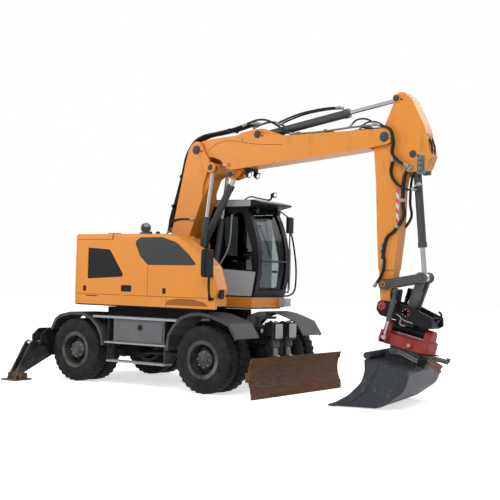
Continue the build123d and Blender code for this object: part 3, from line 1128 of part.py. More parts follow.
# ================================================================ assembly
def build_nodes():
    nodes = {
        "chassis_frame": chassis_frame(),
        "axle_front": axle_front(),
        "axle_rear": axle_rear(),
        "fenders": fenders(),
        "side_steps": side_steps(),
        "toolboxes": toolboxes(),
        "knuckle_left": knuckle(),
        "knuckle_right": mirror(knuckle(), about=Plane.XZ),
        "blade": blade(),
        "upper_deck": upper_deck(),
        "counterweight": counterweight(),
        "engine_hood": engine_hood(),
        "right_body": right_body(),
        "left_body": left_body(),
        "side_panels": side_panels(),
        "engine_block": engine_block(),
        "cab_shell": cab_shell(),
        "cab_glazing": glazing(),
        "cab_door": cab_door(),
        "door_glass": door_glass(),
        "cab_roof": cab_roof(),
        "cab_interior": seat() + steering_column(),
        "boom_lower": boom_lower(),
        "boom_upper": boom_upper(),
        "stick": stick(),
        "rocker": rocker(),
        "link": link(),
        "tilt_frame": tilt_frame(),
        "rotor_housing": rotor_housing(),
        "quick_hitch": quick_hitch(),
        "bucket": bucket(),
    }
    nodes.update(wheels())
    left_mirror, right_mirror = mirrors()
    nodes["mirrors_rails"] = left_mirror + right_mirror
    nodes["blade_barrels"], nodes["blade_rods"] = blade_rams()
    for name, (barrel, rod) in arm_rams().items():
        nodes[f"{name}_barrel"] = barrel
        nodes[f"{name}_rod"] = rod
    for name, side in (("left", 1), ("right", -1)):
        nodes[f"tilt_barrel_{name}"], nodes[f"tilt_rod_{name}"] = tilt_ram(side)
    leg = outrigger()
    leg_barrel, leg_rod = outrigger_ram()
    for node, shape in (("outrigger", leg), ("leg_barrel", leg_barrel), ("leg_rod", leg_rod)):
        nodes[f"{node}_left"] = shape
        nodes[f"{node}_right"] = mirror(shape, about=Plane.XZ)
    return nodes


def main():
    os.makedirs("parts", exist_ok=True)
    for name, shape in build_nodes().items():
        shape = Pos(-MID_X, 0, 0) * shape
        box = shape.bounding_box()
        print(f"{name:22s} {len(shape.solids())} solids {shape.volume / 1e9:8.4f} m3 "
              f"x {box.min.X:7.0f}..{box.max.X:7.0f} y {box.min.Y:7.0f}..{box.max.Y:7.0f} "
              f"z {box.min.Z:7.0f}..{box.max.Z:7.0f} valid {shape.is_valid}")
        export_step(shape, f"parts/{name}.step")


if __name__ == "__main__":
    main()
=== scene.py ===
# %% [markdown]
# # Dressing a wheeled excavator
# The machine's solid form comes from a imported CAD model, which this script loads as a fixed
# frame. Everything below only adds looks: a camera, light, finishes for each piece, and the
# small things that the solids leave out, such as hoses, lamps and seams. Every length is in
# metres. X points forward to the blade, Y to the cab's side and Z up.

# %% Load the frame
import bmesh
import bpy
import math
import numpy as np
from mathutils import Matrix, Vector


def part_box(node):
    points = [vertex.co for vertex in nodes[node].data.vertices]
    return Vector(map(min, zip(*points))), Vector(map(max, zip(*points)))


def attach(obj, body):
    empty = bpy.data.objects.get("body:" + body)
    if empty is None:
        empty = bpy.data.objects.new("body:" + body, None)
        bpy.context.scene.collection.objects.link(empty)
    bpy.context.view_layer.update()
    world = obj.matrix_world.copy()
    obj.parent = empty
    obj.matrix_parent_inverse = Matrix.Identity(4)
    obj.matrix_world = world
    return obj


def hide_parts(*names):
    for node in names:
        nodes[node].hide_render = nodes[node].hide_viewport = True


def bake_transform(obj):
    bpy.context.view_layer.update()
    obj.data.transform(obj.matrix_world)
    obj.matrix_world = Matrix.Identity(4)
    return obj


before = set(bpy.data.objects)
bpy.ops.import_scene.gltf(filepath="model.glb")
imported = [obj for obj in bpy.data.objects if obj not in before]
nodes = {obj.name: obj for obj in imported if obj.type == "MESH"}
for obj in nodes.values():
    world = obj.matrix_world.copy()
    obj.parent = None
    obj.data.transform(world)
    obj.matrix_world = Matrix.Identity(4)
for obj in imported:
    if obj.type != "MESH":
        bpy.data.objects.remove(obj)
scene = bpy.context.scene
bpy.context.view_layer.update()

# %% [markdown]
# ## Camera
# A long lens from the front right, a little below the cab's roof. The three axes of the
# camera are worked out from its heading, its slight tilt and its roll, because a matrix says
# exactly where a camera looks, where a tracking constraint would leave the roll open.

# %% Camera
HEADING, TILT, ROLL = (math.radians(angle) for angle in (34.751, -1.592, 1.462))
CAMERA_PLACE = Vector((9.640, -13.854, 1.791))
FOCAL_LENGTH, SENSOR_WIDTH = 74.21, 36  # millimetres, as a lens is named
FARTHEST_SEEN = 200

right = Vector((math.cos(HEADING), math.sin(HEADING), 0))
back = Vector((math.sin(HEADING) * math.cos(TILT), -math.cos(HEADING) * math.cos(TILT), math.sin(TILT)))
up = back.cross(right)
axis_x = right * math.cos(ROLL) + up * math.sin(ROLL)
axis_y = up * math.cos(ROLL) - right * math.sin(ROLL)
camera = bpy.data.objects.new("camera", bpy.data.cameras.new("camera"))
camera.data.lens = FOCAL_LENGTH
camera.data.sensor_width = SENSOR_WIDTH
camera.data.clip_end = FARTHEST_SEEN
turned_axes = Matrix((axis_x, axis_y, back)).transposed().to_4x4()
camera.matrix_world = Matrix.Translation(CAMERA_PLACE) @ turned_axes
scene.collection.objects.link(camera)
scene.camera = camera
scene.view_settings.view_transform = "Standard"
print("camera at", [round(v, 2) for v in camera.location])

# %% [markdown]
# ## Finishes as expressions
# A finish is a small graph of nodes. Joining them by hand hides the idea, so a socket is
# wrapped in a class whose operators add Math nodes: 1 - mask * 0.4 then reads as it works.


# %% Sockets that do arithmetic
class Wire:
    """An output socket. Arithmetic on it adds Math nodes to its tree."""

    def __init__(self, socket):
        self.socket = socket

    def math(self, operation, *others):
        """A Math node with this wire and the others in its sockets, in that order."""
        node = self.socket.id_data.nodes.new("ShaderNodeMath")
        node.operation = operation
        for socket, value in zip(node.inputs, (self, *others)):
            plug(socket, value)
        return Wire(node.outputs[0])

    def __add__(self, other):
        return self.math("ADD", other)

    def __sub__(self, other):
        return self.math("SUBTRACT", other)

    def __rsub__(self, other):
        return self.math("MULTIPLY_ADD", -1.0, other)

    def __mul__(self, other):
        return self.math("MULTIPLY", other)

    def __gt__(self, other):
        return self.math("GREATER_THAN", other)

    def __lt__(self, other):
        return self.math("LESS_THAN", other)

    __radd__ = __add__
    __rmul__ = __mul__


def plug(socket, value):
    """Link a Wire into a socket, or set the socket's own value."""
    if isinstance(value, Wire):
        socket.id_data.links.new(value.socket, socket)
    elif isinstance(value, (tuple, list)) and socket.type == "RGBA":
        socket.default_value = (*value[:3], 1.0)
    else:
        socket.default_value = value


print("wires ready")

# %% [markdown]
# ## One way to add a node
# Every other node comes from one method, which takes the node's kind, its settings and what
# goes into its sockets. The world and the floor use it too, and both need to know which rays
# should see a white studio: those from the camera and those that met gloss or glass.


# %% Graphs of nodes
def set_stops(ramp, stops):
    """Give a colour ramp these (position, grey) stops."""
    while len(ramp.elements) < len(stops):
        ramp.elements.new(0.5)
    for element, (position, grey) in zip(ramp.elements, stops):
        element.position = position
        element.color = (grey, grey, grey, 1)


class Graph:
    """A tree of nodes."""

    def __init__(self, tree):
        self.tree = tree

    def add(self, kind, settings, sockets):
        """A node of this kind, with its settings first and then its sockets' values or links."""
        node = self.tree.nodes.new(kind)
        for key, value in settings.items():
            if key == "stops":
                set_stops(node.color_ramp, value)
            else:
                setattr(node, key, value)
        by_id = {socket.identifier: socket for socket in node.inputs}
        for key, value in sockets.items():
            plug(by_id.get(key) or node.inputs[key], value)
        return node

    def seen_ray(self):
        """1 for rays from the camera, and for those that met gloss or glass."""
        path = self.add("ShaderNodeLightPath", {}, {})
        camera_ray, gloss_ray, glass_ray = (Wire(path.outputs[f"Is {kind} Ray"])
                                            for kind in ("Camera", "Glossy", "Transmission"))
        return camera_ray.math("MAXIMUM", gloss_ray).math("MAXIMUM", glass_ray)

    def pick(self, factor, first, second):
        """The first shader where factor is 0 and the second where it is 1."""
        node = self.add("ShaderNodeMixShader", {}, {"Fac": factor, "Shader": first, "Shader_001": second})
        return Wire(node.outputs[0])


print("graphs ready")

# %% [markdown]
# ## A finish
# A finish is a graph round one Principled shader, which can be paint, steel, rubber or glass.
# Its patterns read Object coordinates, so that they stay on a piece that moves and run on from
# one piece to the next. The methods below are the few patterns that wear is made of: clouds,
# ramps that harden them, and straight bands.


# %% Finish
class Finish(Graph):
    """A material with one Principled shader; constants are set on its sockets."""

    def __init__(self, name, **constants):
        self.material = bpy.data.materials.new(name)
        self.material.use_nodes = True
        super().__init__(self.material.node_tree)
        self.shader = self.tree.nodes["Principled BSDF"]
        for key, value in constants.items():
            plug(self.shader.inputs[key.replace("_", " ")], value)
        self.place = Wire(self.add("ShaderNodeTexCoord", {}, {}).outputs["Object"])
        parts = self.add("ShaderNodeSeparateXYZ", {}, {"Vector": self.place})
        self.x, self.y, self.z = (Wire(socket) for socket in parts.outputs)

    def noise(self, scale, detail=4.0, stretch=(1, 1, 1)):
        """Cloudy value from 0 to 1, in lumps of about 1 / scale metres."""
        spot = self.add("ShaderNodeMapping", {}, {"Vector": self.place, "Scale": stretch})
        cloud = self.add("ShaderNodeTexNoise", {},
                         {"Vector": Wire(spot.outputs[0]), "Scale": scale, "Detail": detail})
        return Wire(cloud.outputs[0])

    def ramp(self, value, *stops):
        """The value passed through a grey ramp of (position, grey) stops."""
        return Wire(self.add("ShaderNodeValToRGB", {"stops": stops}, {"Fac": value}).outputs[0])

    def fade(self, value, start, end):
        """0 where value is start, 1 where it is end, and straight between them."""
        node = self.add("ShaderNodeMapRange", {}, {"Value": value, "From Min": start, "From Max": end})
        return Wire(node.outputs[0])

    def between(self, value, low, high, soft=0.002):
        """1 where value lies between low and high, with soft edges."""
        return self.fade(value, low - soft, low + soft) - self.fade(value, high - soft, high + soft)

    def mix(self, factor, first, second):
        """Colour between first (factor 0) and second (factor 1)."""
        node = self.add("ShaderNodeMix", {"data_type": "RGBA"},
                        {"Factor_Float": factor, "A_Color": first, "B_Color": second})
        return Wire(node.outputs[2])

    def colour(self, value):
        """Set the colour of the surface."""
        plug(self.shader.inputs["Base Color"], value)
        return self

    def roughness(self, value):
        """Set how matt the surface is: 0 mirrors, 1 is like chalk."""
        plug(self.shader.inputs["Roughness"], value)
        return self

    def bump(self, height, strength, distance):
        """Tilt the light on the surface as if it rose by height times distance."""
        node = self.add("ShaderNodeBump", {}, {"Height": height, "Strength": strength, "Distance": distance})
        plug(self.shader.inputs["Normal"], Wire(node.outputs[0]))
        return self


print("finishes can be made")

# %% [markdown]
# ## Light and floor
# A pale studio: the world gives even light, three large panels model the forms, and the floor
# is white to the camera but keeps the machine's shadow. Light Path tells a ray that the
# camera sends from one that lights the object, so the white does not brighten the paint.


# %% World, lamps and floor
SKY = (0.93, 0.96, 1)
WHITE = (1, 1, 1)
FLOOR_GLOW = 0.62


def studio_world(strength):
    """Even bluish light of this strength, seen by the camera, gloss and glass as plain white."""
    world = bpy.data.worlds.new("studio")
    world.use_nodes = True
    world.node_tree.nodes.clear()
    graph = Graph(world.node_tree)
    light = graph.add("ShaderNodeBackground", {}, {"Color": SKY, "Strength": strength})
    white = graph.add("ShaderNodeBackground", {}, {"Color": WHITE, "Strength": 1.0})
    shown = graph.pick(graph.seen_ray(), Wire(light.outputs[0]), Wire(white.outputs[0]))
    graph.add("ShaderNodeOutputWorld", {}, {"Surface": shown})
    scene.world = world


def lamp(name, place, target, size, power):
    """A square panel of light at place that faces target."""
    data = bpy.data.lights.new(name, "AREA")
    data.size = size
    data.energy = power
    item = bpy.data.objects.new(name, data)
    item.location = place
    item.rotation_euler = (Vector(target) - Vector(place)).to_track_quat("-Z", "Y").to_euler()
    scene.collection.objects.link(item)


def floor_plane(half):
    """A square floor, 2 * half wide, that adds a glow of its own where it is seen."""
    data = bpy.data.meshes.new("floor")
    corners = [(-half, -half, 0), (half, -half, 0), (half, half, 0), (-half, half, 0)]
    data.from_pydata(corners, [], [(0, 1, 2, 3)])
    item = bpy.data.objects.new("floor", data)
    scene.collection.objects.link(item)
    finish = Finish("floor_white", Base_Color=(0.9, 0.9, 0.9), Roughness=0.9)
    lit = Wire(finish.shader.outputs[0])
    glow = finish.add("ShaderNodeEmission", {}, {"Color": WHITE, "Strength": FLOOR_GLOW})
    bright = finish.add("ShaderNodeAddShader", {}, {"Shader": lit, "Shader_001": Wire(glow.outputs[0])})
    shown = finish.pick(finish.seen_ray(), lit, Wire(bright.outputs[0]))
    plug(finish.tree.nodes["Material Output"].inputs["Surface"], shown)
    data.materials.append(finish.material)


studio_world(0.55)
lamp("key", (6, -12, 12), (0.5, 0, 1.5), 9, 1150)
lamp("fill", (-9, -9, 7), (0, 0, 1.5), 8, 500)
lamp("rim", (4, 10, 9), (0, 0, 2), 7, 500)
floor_plane(60)
print("lamps", [light.name for light in bpy.data.lights])

# %% [markdown]
# ## Paint
# Painted panels vary a little: clouds of fading, dust low down and a coat that mirrors the
# sky. One function makes every paint, so that a colour can be reused with other wear. What
# only one piece has, such as the gaps between body panels or bare treads, is a mask that the
# function lays over the colour, which is exact and needs no painting by hand.


# %% Paint
DUST = (0.33, 0.29, 0.24)
DUST_FLOOR = 0.1  # at this height the dust is thickest
FADED = 0.72  # the cloudy shade of a colour, as a share of it


def paint(name, colour, rough=0.35, dust=0.15, dust_top=1.2, coat=0.0, shine=0.25, marks=None):
    """Enamel of one colour: slow clouds, dust that fades out towards dust_top, a clear coat.

    marks is a function of the finish that gives a mask and the colour to lay where it is 1.
    """
    finish = Finish(name, Coat_Weight=coat, Coat_Roughness=0.12, Specular_IOR_Level=shine)
    cloud = finish.noise(1.3)
    grain = finish.noise(38, 6)
    shade = finish.mix(cloud * 0.5 + grain * 0.06, colour, tuple(c * FADED for c in colour))
    if marks:
        mask, tint = marks(finish)
        shade = finish.mix(mask, shade, tint)
    low = finish.fade(finish.z, dust_top, DUST_FLOOR)
    dirt = finish.ramp(finish.noise(4.5, 8), (0.38, 0.0), (0.68, 1.0)) * low * dust
    finish.colour(finish.mix(dirt, shade, DUST))
    finish.roughness(rough + dirt * 0.4 + grain * 0.08)
    return finish.bump(grain, 0.05, 0.002)


SKIRT_LOW, SKIRT_HIGH, SEAM_TOP = 1.468, 1.475, 1.968
UPPER_SEAM, LOWER_SEAM = (-1.084, -1.076), (-0.694, -0.687)
SIDES_FROM = 1.19  # seams show only where the paint is farther out than this
TREAD_LEVELS = ((1.084, 1.13), (0.676, 0.71), (0.374, 0.41))


def panel_seams(finish):
    """Gaps between the sheets of the body: along the skirt, and upright above and below it."""
    skirt = finish.between(finish.z, SKIRT_LOW, SKIRT_HIGH)
    upper = finish.between(finish.x, *UPPER_SEAM) * finish.between(finish.z, SKIRT_HIGH, SEAM_TOP)
    lower = finish.between(finish.x, *LOWER_SEAM) * (finish.z < SKIRT_LOW + 0.002)
    outside = finish.y.math("ABSOLUTE") > SIDES_FROM
    return (skirt + upper + lower) * outside, (0.045, 0.012, 0.002)


def tread_tops(finish):
    """Bare galvanised treads, scratched by boots, on black uprights."""
    upper, middle, lower = (finish.between(finish.z, low, high) for low, high in TREAD_LEVELS)
    return (upper + middle + lower) * (finish.noise(14, 8) * 0.5 + 0.7), (0.34, 0.35, 0.36)


def rusty_foot(finish):
    """Paint rubbed off the foot plate and rusted."""
    rubbed = finish.ramp(finish.noise(9, 8), (0.3, 0.3), (0.6, 1.0))
    return finish.fade(finish.z, 0.20, 0.08) * rubbed, (0.11, 0.062, 0.035)


def worn_stick(finish):
    """Dirt and thin rust where the hoses rub on the arm."""
    return finish.ramp(finish.noise(6, 9, (1, 1, 0.3)), (0.58, 0.0), (0.75, 0.4)), (0.22, 0.10, 0.03)


YELLOW = (0.72, 0.255, 0.028)
yellow = paint("yellow_paint", YELLOW, rough=0.36, dust=0.12, coat=0.12, shine=0.3, marks=panel_seams)
arm_yellow = paint("arm_yellow", YELLOW, rough=0.38, dust=0.25, dust_top=3.0, coat=0.1, shine=0.3,
                   marks=worn_stick)
# A darker yellow that is painted shade, for the recess under the nose; the weld beads borrow it.
painted_shade_yellow = paint("painted_shade_yellow", (0.30, 0.095, 0.010), rough=0.5)
toolbox_grey = paint("toolbox_grey", (0.115, 0.12, 0.125), rough=0.45, dust=0.4)
step_grey = paint("step_grey", (0.012, 0.012, 0.013), rough=0.5, dust=0.35, marks=tread_tops)
leg_black = paint("leg_black", (0.011, 0.011, 0.013), rough=0.5, dust=0.3, marks=rusty_foot)
black = paint("chassis_black", (0.009, 0.009, 0.011), rough=0.5, dust=0.22, shine=0.15)
plastic = paint("dark_plastic", (0.007, 0.0075, 0.009), rough=0.42, dust=0.1, shine=0.15)
fender_grey = paint("fender_grey", (0.040, 0.041, 0.043), rough=0.5, dust=0.45)
rim_paint = paint("rim_paint", (0.030, 0.031, 0.034), rough=0.45, dust=0.5)
barrel_grey = paint("barrel_grey", (0.045, 0.050, 0.057), rough=0.4, dust=0.2, dust_top=3.0, coat=0.1)
cast_grey = paint("cast_grey", (0.055, 0.058, 0.062), rough=0.55, dust=0.4, dust_top=3.0)
panel_grey = paint("panel_grey", (0.42, 0.45, 0.46), rough=0.45, dust=0.12, dust_top=2.0)
gloss_panel = paint("gloss_panel", (0.006, 0.007, 0.009), rough=0.08, dust=0.05, coat=0.4, shine=0.5)
rod_grey = paint("rod_grey", (0.30, 0.295, 0.28), rough=0.35, dust=0.6)
red = paint("red_paint", (0.30, 0.010, 0.008), rough=0.45, dust=0.35, dust_top=2.0)
print("paints", len(bpy.data.materials))

# %% [markdown]
# ## Rubber, chrome, glass, cloth and worn steel
# What isn't plain paint gets a function of its own. Rubber is nearly black with dust in its
# grain, a cylinder's rod is hard chrome, the seat is woven, and the bucket and the blade are
# rubbed by earth. The panes are tinted and let light through, and their tint is painted light
# and shade: the sides are painted dark as the shade of the cab that one looks into there, and
# the windscreen is painted pale as light on the glass.


# %% Rubber, chrome, glass and cloth
WINDSCREEN_FROM = -0.34  # panes ahead of this X are the windscreen


def rubber():
    """Dull black with dust in patches and a fine grain."""
    finish = Finish("tyre_rubber", Specular_IOR_Level=0.15)
    grain = finish.noise(60, 6)
    dirt = finish.ramp(finish.noise(7, 8), (0.35, 0.0), (0.75, 1.0))
    finish.colour(finish.mix(dirt * 0.5, (0.008, 0.008, 0.009), (0.045, 0.042, 0.040)))
    finish.roughness(0.62 + grain * 0.25)
    return finish.bump(grain, 0.25, 0.003)


def chrome():
    """Hard chrome with a thin film of oil."""
    finish = Finish("chrome_rod", Base_Color=(0.34, 0.345, 0.35), Metallic=1.0)
    return finish.roughness(0.24 + finish.noise(30, 5) * 0.06)


def glass():
    """Tinted panes, painted dark at the sides as the cab's shade and pale in the windscreen as light, with
    wiped and dusty patches.
    """
    finish = Finish("cab_glass", Transmission_Weight=1.0, IOR=1.12)
    front = finish.x > WINDSCREEN_FROM
    # Painted shade and light: the side panes get a dark tint for the shade of the cab behind them, and the
    # windscreen a pale one for light.
    side = finish.mix(finish.noise(2.0), (0.09, 0.10, 0.105), (0.20, 0.22, 0.225))
    screen = finish.mix(finish.noise(1.4), (0.42, 0.46, 0.47), (0.60, 0.64, 0.65))
    finish.colour(finish.mix(front, side, screen))
    return finish.roughness(finish.ramp(finish.noise(5, 8), (0.45, 0.0), (0.8, 0.04)))


def seat_cloth():
    """Dark cloth with a fine weave."""
    finish = Finish("seat_fabric", Roughness=0.85)
    weave = finish.noise(220, 2)
    finish.colour(finish.mix(weave, (0.02, 0.02, 0.022), (0.05, 0.05, 0.055)))
    return finish.bump(weave, 0.3, 0.002)


def bucket_steel():
    """Dark paint with pale scratches, which run up and down the bucket."""
    finish = Finish("bucket_paint", Specular_IOR_Level=0.3)
    cloud = finish.noise(2.2, 6)
    scratch = finish.ramp(finish.noise(9, 8, (1, 6, 1)), (0.55, 0.0), (0.72, 1.0))
    base = finish.mix(cloud, (0.014, 0.017, 0.022), (0.028, 0.032, 0.040))
    finish.colour(finish.mix(scratch * 0.35, base, (0.14, 0.135, 0.13)))
    finish.roughness(0.42 + cloud * 0.2)
    return finish.bump(scratch, 0.1, 0.002)


def blade_steel():
    """Rubbed black paint over rusty steel, with streaks of dried earth."""
    finish = Finish("blade_paint", Specular_IOR_Level=0.2)
    rust = finish.ramp(finish.noise(3.2, 9, (1, 0.5, 2)), (0.36, 0.0), (0.60, 1.0))
    streak = finish.ramp(finish.noise(5.0, 8, (1, 1, 7)), (0.45, 0.0), (0.7, 1.0))
    base = finish.mix(rust, (0.032, 0.022, 0.018), (0.120, 0.048, 0.021))
    finish.colour(finish.mix(streak * 0.5, base, (0.17, 0.095, 0.055)))
    finish.roughness(0.55 + rust * 0.25)
    return finish.bump(rust + streak * 0.5, 0.35, 0.003)


tyre_rubber, chrome_rod, cab_glass = rubber(), chrome(), glass()
cloth, bucket_finish, blade_finish = seat_cloth(), bucket_steel(), blade_steel()
print("finishes", len(bpy.data.materials))

# %% [markdown]
# ## Finishes for the CAD pieces
# Each CAD node keeps its solid shape and takes one of the finishes. The table reads like a
# painter's list: the words on the left start the names of the nodes.

# %% Painter's list
FINISHES = {
    "chassis_frame": black, "axle": black, "knuckle": black, "fenders": fender_grey,
    "side_steps": step_grey, "toolboxes": toolbox_grey, "tyres": tyre_rubber, "rims": rim_paint,
    "blade": blade_finish, "blade_barrels": barrel_grey, "blade_rods": rod_grey,
    "outrigger": leg_black, "leg_barrel": barrel_grey, "leg_rod": chrome_rod,
    "upper_deck": plastic, "counterweight": yellow, "engine_hood": yellow, "engine_block": cast_grey,
    "right_body": yellow, "left_body": yellow, "side_panels": plastic,
    "cab_shell": plastic, "cab_glazing": cab_glass, "cab_door": plastic, "door_glass": cab_glass,
    "cab_roof": plastic, "cab_interior": cloth, "mirrors_rails": plastic,
    "boom_lower": arm_yellow, "boom_upper": arm_yellow, "stick": arm_yellow,
    "hoist_barrel": barrel_grey, "hoist_rod": chrome_rod,
    "adjust_barrel": barrel_grey, "adjust_rod": chrome_rod,
    "stick_barrel": barrel_grey, "stick_rod": chrome_rod,
    "bucket_barrel": barrel_grey, "bucket_rod": chrome_rod,
    "tilt_barrel": barrel_grey, "tilt_rod": chrome_rod,
    "rocker": cast_grey, "link": cast_grey, "tilt_frame": plastic, "rotor_housing": red,
    "quick_hitch": cast_grey, "bucket": bucket_finish,
}


def finish_for(name):
    """The longest entry of the painter's list that starts the node's name."""
    return FINISHES[max((key for key in FINISHES if name.startswith(key)), key=len)]


for name, item in nodes.items():
    item.data.materials.clear()
    item.data.materials.append(finish_for(name).material)
print("finished", len(nodes), "CAD nodes")

# %% [markdown]
# ## Meshes from arrays
# Everything added below is a surface: a grid of points with two directions. Whole arrays make
# the points, so that the formula stays in one line and the mesh is the same on every run.
# Each new piece rides on the body that carries it and takes the finish that it is given; a piece
# that is given two bodies stays where it is made, on neither.


# %% Meshes and their bodies
CRISP, EVEN, ROUND, TREAD = 0.4, 0.5, 0.6, 0.7  # radians; a sharper edge than this stays an edge
made = []


def tell(step):
    """Print the pieces that were made since the last call."""
    print(f"{step}: {len(made)} pieces,", ", ".join(made))
    made.clear()


def build(name, body, finish, points, faces, sharp):
    """An object from points and faces: doubles merged, faces outward, smooth up to an angle."""
    data = bpy.data.meshes.new(name)
    data.from_pydata(points.reshape(-1, 3).tolist(), [], faces)
    work = bmesh.new()
    work.from_mesh(data)
    bmesh.ops.remove_doubles(work, verts=work.verts, dist=1e-5)
    bmesh.ops.recalc_face_normals(work, faces=work.faces)
    work.to_mesh(data)
    work.free()
    data.polygons.foreach_set("use_smooth", [True] * len(data.polygons))
    data.set_sharp_from_angle(angle=sharp)
    data.materials.append(finish.material)
    item = bpy.data.objects.new(name, data)
    scene.collection.objects.link(item)
    if isinstance(body, str):
        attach(item, body)
    else:
        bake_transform(item)
    made.append(name)
    return item


def quads(rows, columns, closed=False):
    """Corners of a grid's faces; the columns always close, and the rows only if closed."""
    row, column = np.meshgrid(np.arange(rows if closed else rows - 1), np.arange(columns), indexing="ij")
    above, beside = (row + 1) % rows, (column + 1) % columns
    corners = [row * columns + column, row * columns + beside,
               above * columns + beside, above * columns + column]
    return np.stack(corners, -1).reshape(-1, 4)


def gather(name, body, finish, loops_list, sharp=EVEN):
    """One object from several stacks of loops, each an array (rows, columns, 3), capped."""
    points, faces, offset = [], [], 0
    for loops in loops_list:
        rows, columns = loops.shape[:2]
        first = np.arange(columns) + offset
        points.append(loops.reshape(-1, 3))
        faces += (quads(rows, columns) + offset).tolist()
        faces += [first[::-1].tolist(), (first + (rows - 1) * columns).tolist()]
        offset += rows * columns
    return build(name, body, finish, np.concatenate(points), faces, sharp)


print("mesh helpers ready")

# %% [markdown]
# ## Tubes
# Hoses, pipes, rails and welds are tubes: a circle carried along a path. The path passes
# through a few chosen points, as a hose passes its clamps, and bends evenly between them. A
# curve with a round bevel would do the same, but its circles twist where the path turns
# back, so here they keep to the plane that the path lies closest to.


# %% Tubes
def smooth_path(points, steps=7):
    """Catmull-Rom curve: each run blends its two ends with the directions of their neighbours."""
    p = np.array(points, float)
    p = np.concatenate([2 * p[:1] - p[1:2], p, 2 * p[-1:] - p[-2:-1]])
    t = np.linspace(0, 1, steps, endpoint=False)[None, :, None]
    a, b, c, d = (p[k:len(p) - 3 + k, None] for k in range(4))
    bend, twist = 2 * a - 5 * b + 4 * c - d, 3 * b - a - 3 * c + d
    run = 0.5 * (2 * b + (c - a) * t + bend * t ** 2 + twist * t ** 3)
    return np.concatenate([run.reshape(-1, 3), p[-2:-1]])


def tube(points, radius, sides=10, steps=7):
    """Circle carried along a smooth path: centre + r (cos u * side + sin u * normal)."""
    path = smooth_path(points, steps)
    along = np.gradient(path, axis=0)
    along /= np.linalg.norm(along, axis=1, keepdims=True)
    flat = np.linalg.svd(path - path.mean(0))[2][2]
    normal = flat - (along @ flat)[:, None] * along
    normal /= np.linalg.norm(normal, axis=1, keepdims=True)
    side = np.cross(along, normal)
    u = np.linspace(0, 2 * np.pi, sides, endpoint=False)[None, :, None]
    return path[:, None] + radius * (np.cos(u) * side[:, None] + np.sin(u) * normal[:, None])


print("a tube through 3 points has", len(smooth_path([(0, 0, 0), (0.5, 0.1, 0), (1, 0, 0)])), "circles")

# %% [markdown]
# ## Turned pieces
# Bolts, caps, knobs and lamps are made on a lathe, and a profile carried round an axis is the
# same idea. A profile with only six sides makes a hexagon. Heads on both sides of a beam are
# so common on this machine that they get a helper of their own.


# %% Turned pieces
def turned(profile, place, axis, sides=24):
    """Profile of (distance along the axis, radius) pairs carried round an axis through place."""
    axis = np.array(axis, float) / np.linalg.norm(axis)
    first = np.cross(axis, (0, 0, 1) if abs(axis[2]) < 0.9 else (1, 0, 0))
    first /= np.linalg.norm(first)
    second = np.cross(axis, first)
    u = np.linspace(0, 2 * np.pi, sides, endpoint=False)
    ring = np.cos(u)[:, None] * first + np.sin(u)[:, None] * second
    height, radius = np.array(profile, float).T
    return np.array(place, float) + height[:, None, None] * axis + radius[:, None, None] * ring[None]


def on_faces(profile, x, z, faces, sides):
    """The turned profile standing out, away from the middle, from side faces at these Y."""
    return [turned(profile, (x, y, z), (0, math.copysign(1, y), 0), sides) for y in faces]


print("turned pieces ready")

# %% [markdown]
# ## Slabs
# Plates, blocks and covers are cut from sheet: an outline carried up through a small chamfer.
# The corners of the outline are rounded first, so that an outline needs only its corners. The
# chamfer is what catches the light, as the broken edge of real sheet does.


# %% Slabs
def rounded(outline, radius, arc=4):
    """Corners of a 2-D outline replaced by quadratic arcs that start radius away from them."""
    p = np.array(outline, float)
    before, after = np.roll(p, 1, 0) - p, np.roll(p, -1, 0) - p

    def reach(edge):
        length = np.linalg.norm(edge, axis=1)
        return np.minimum(radius, length * 0.45)[:, None] / length[:, None]

    start, end = p + before * reach(before), p + after * reach(after)
    t = np.linspace(0, 1, arc)[None, :, None]
    arcs = (1 - t) ** 2 * start[:, None] + 2 * t * (1 - t) * p[:, None] + t ** 2 * end[:, None]
    return arcs.reshape(-1, 2)


def slab(outline, low, high, across="y", radius=0.01, chamfer=0.004):
    """Rounded outline carried from low to high, and in over a chamfer at both ends."""
    flat = rounded(outline, radius)
    centre = flat.mean(0)
    size = np.abs(flat - centre).max(0)
    inner = centre + (flat - centre) * (1 - chamfer / size)
    sign = math.copysign(chamfer, high - low)
    rows = [(inner, low), (flat, low + sign), (flat, high - sign), (inner, high)]
    order = {"y": (0, 2, 1), "x": (1, 2, 0), "z": (0, 1, 2)}[across]
    loops = np.zeros((4, len(flat), 3))
    for loop, (shape, level) in zip(loops, rows):
        loop[:, order[0]], loop[:, order[1]], loop[:, order[2]] = shape[:, 0], shape[:, 1], level
    return loops


def oblong(x0, x1, z0, z1):
    """Outline of an upright rectangle."""
    return [(x0, z0), (x1, z0), (x1, z1), (x0, z1)]


def plate(outline, face, rise, radius, chamfer, sink=0.004, out=-1):
    """Slab let into the face at Y = face by sink, and standing out of it by rise.

    out is -1 where the face looks to the right, and 1 where it looks to the left.
    """
    return slab(outline, face - out * sink, face + out * rise, "y", radius, chamfer)


print("slabs ready")

# %% [markdown]
# ## Hose, lens and strip finishes
# Hose covers are matt and a little dusty, steel pipes are painted grey, lamp lenses are
# clear with ribs, and the reflective strip has slanting bars. The bars are worked out from
# the place on the strip, so that their edges stay sharp from close by.


# %% Hose, lens and strip finishes
def lens():
    """Bright glass with level ribs, which spread a lamp's light."""
    finish = Finish("lamp_lens", Base_Color=(0.8, 0.82, 0.84), Metallic=0.6, Coat_Weight=1.0)
    ribs = finish.add("ShaderNodeTexWave", {"bands_direction": "Z"}, {"Vector": finish.place, "Scale": 22.0})
    finish.roughness(0.12 + finish.noise(20) * 0.1)
    return finish.bump(Wire(ribs.outputs["Fac"]), 0.4, 0.003)


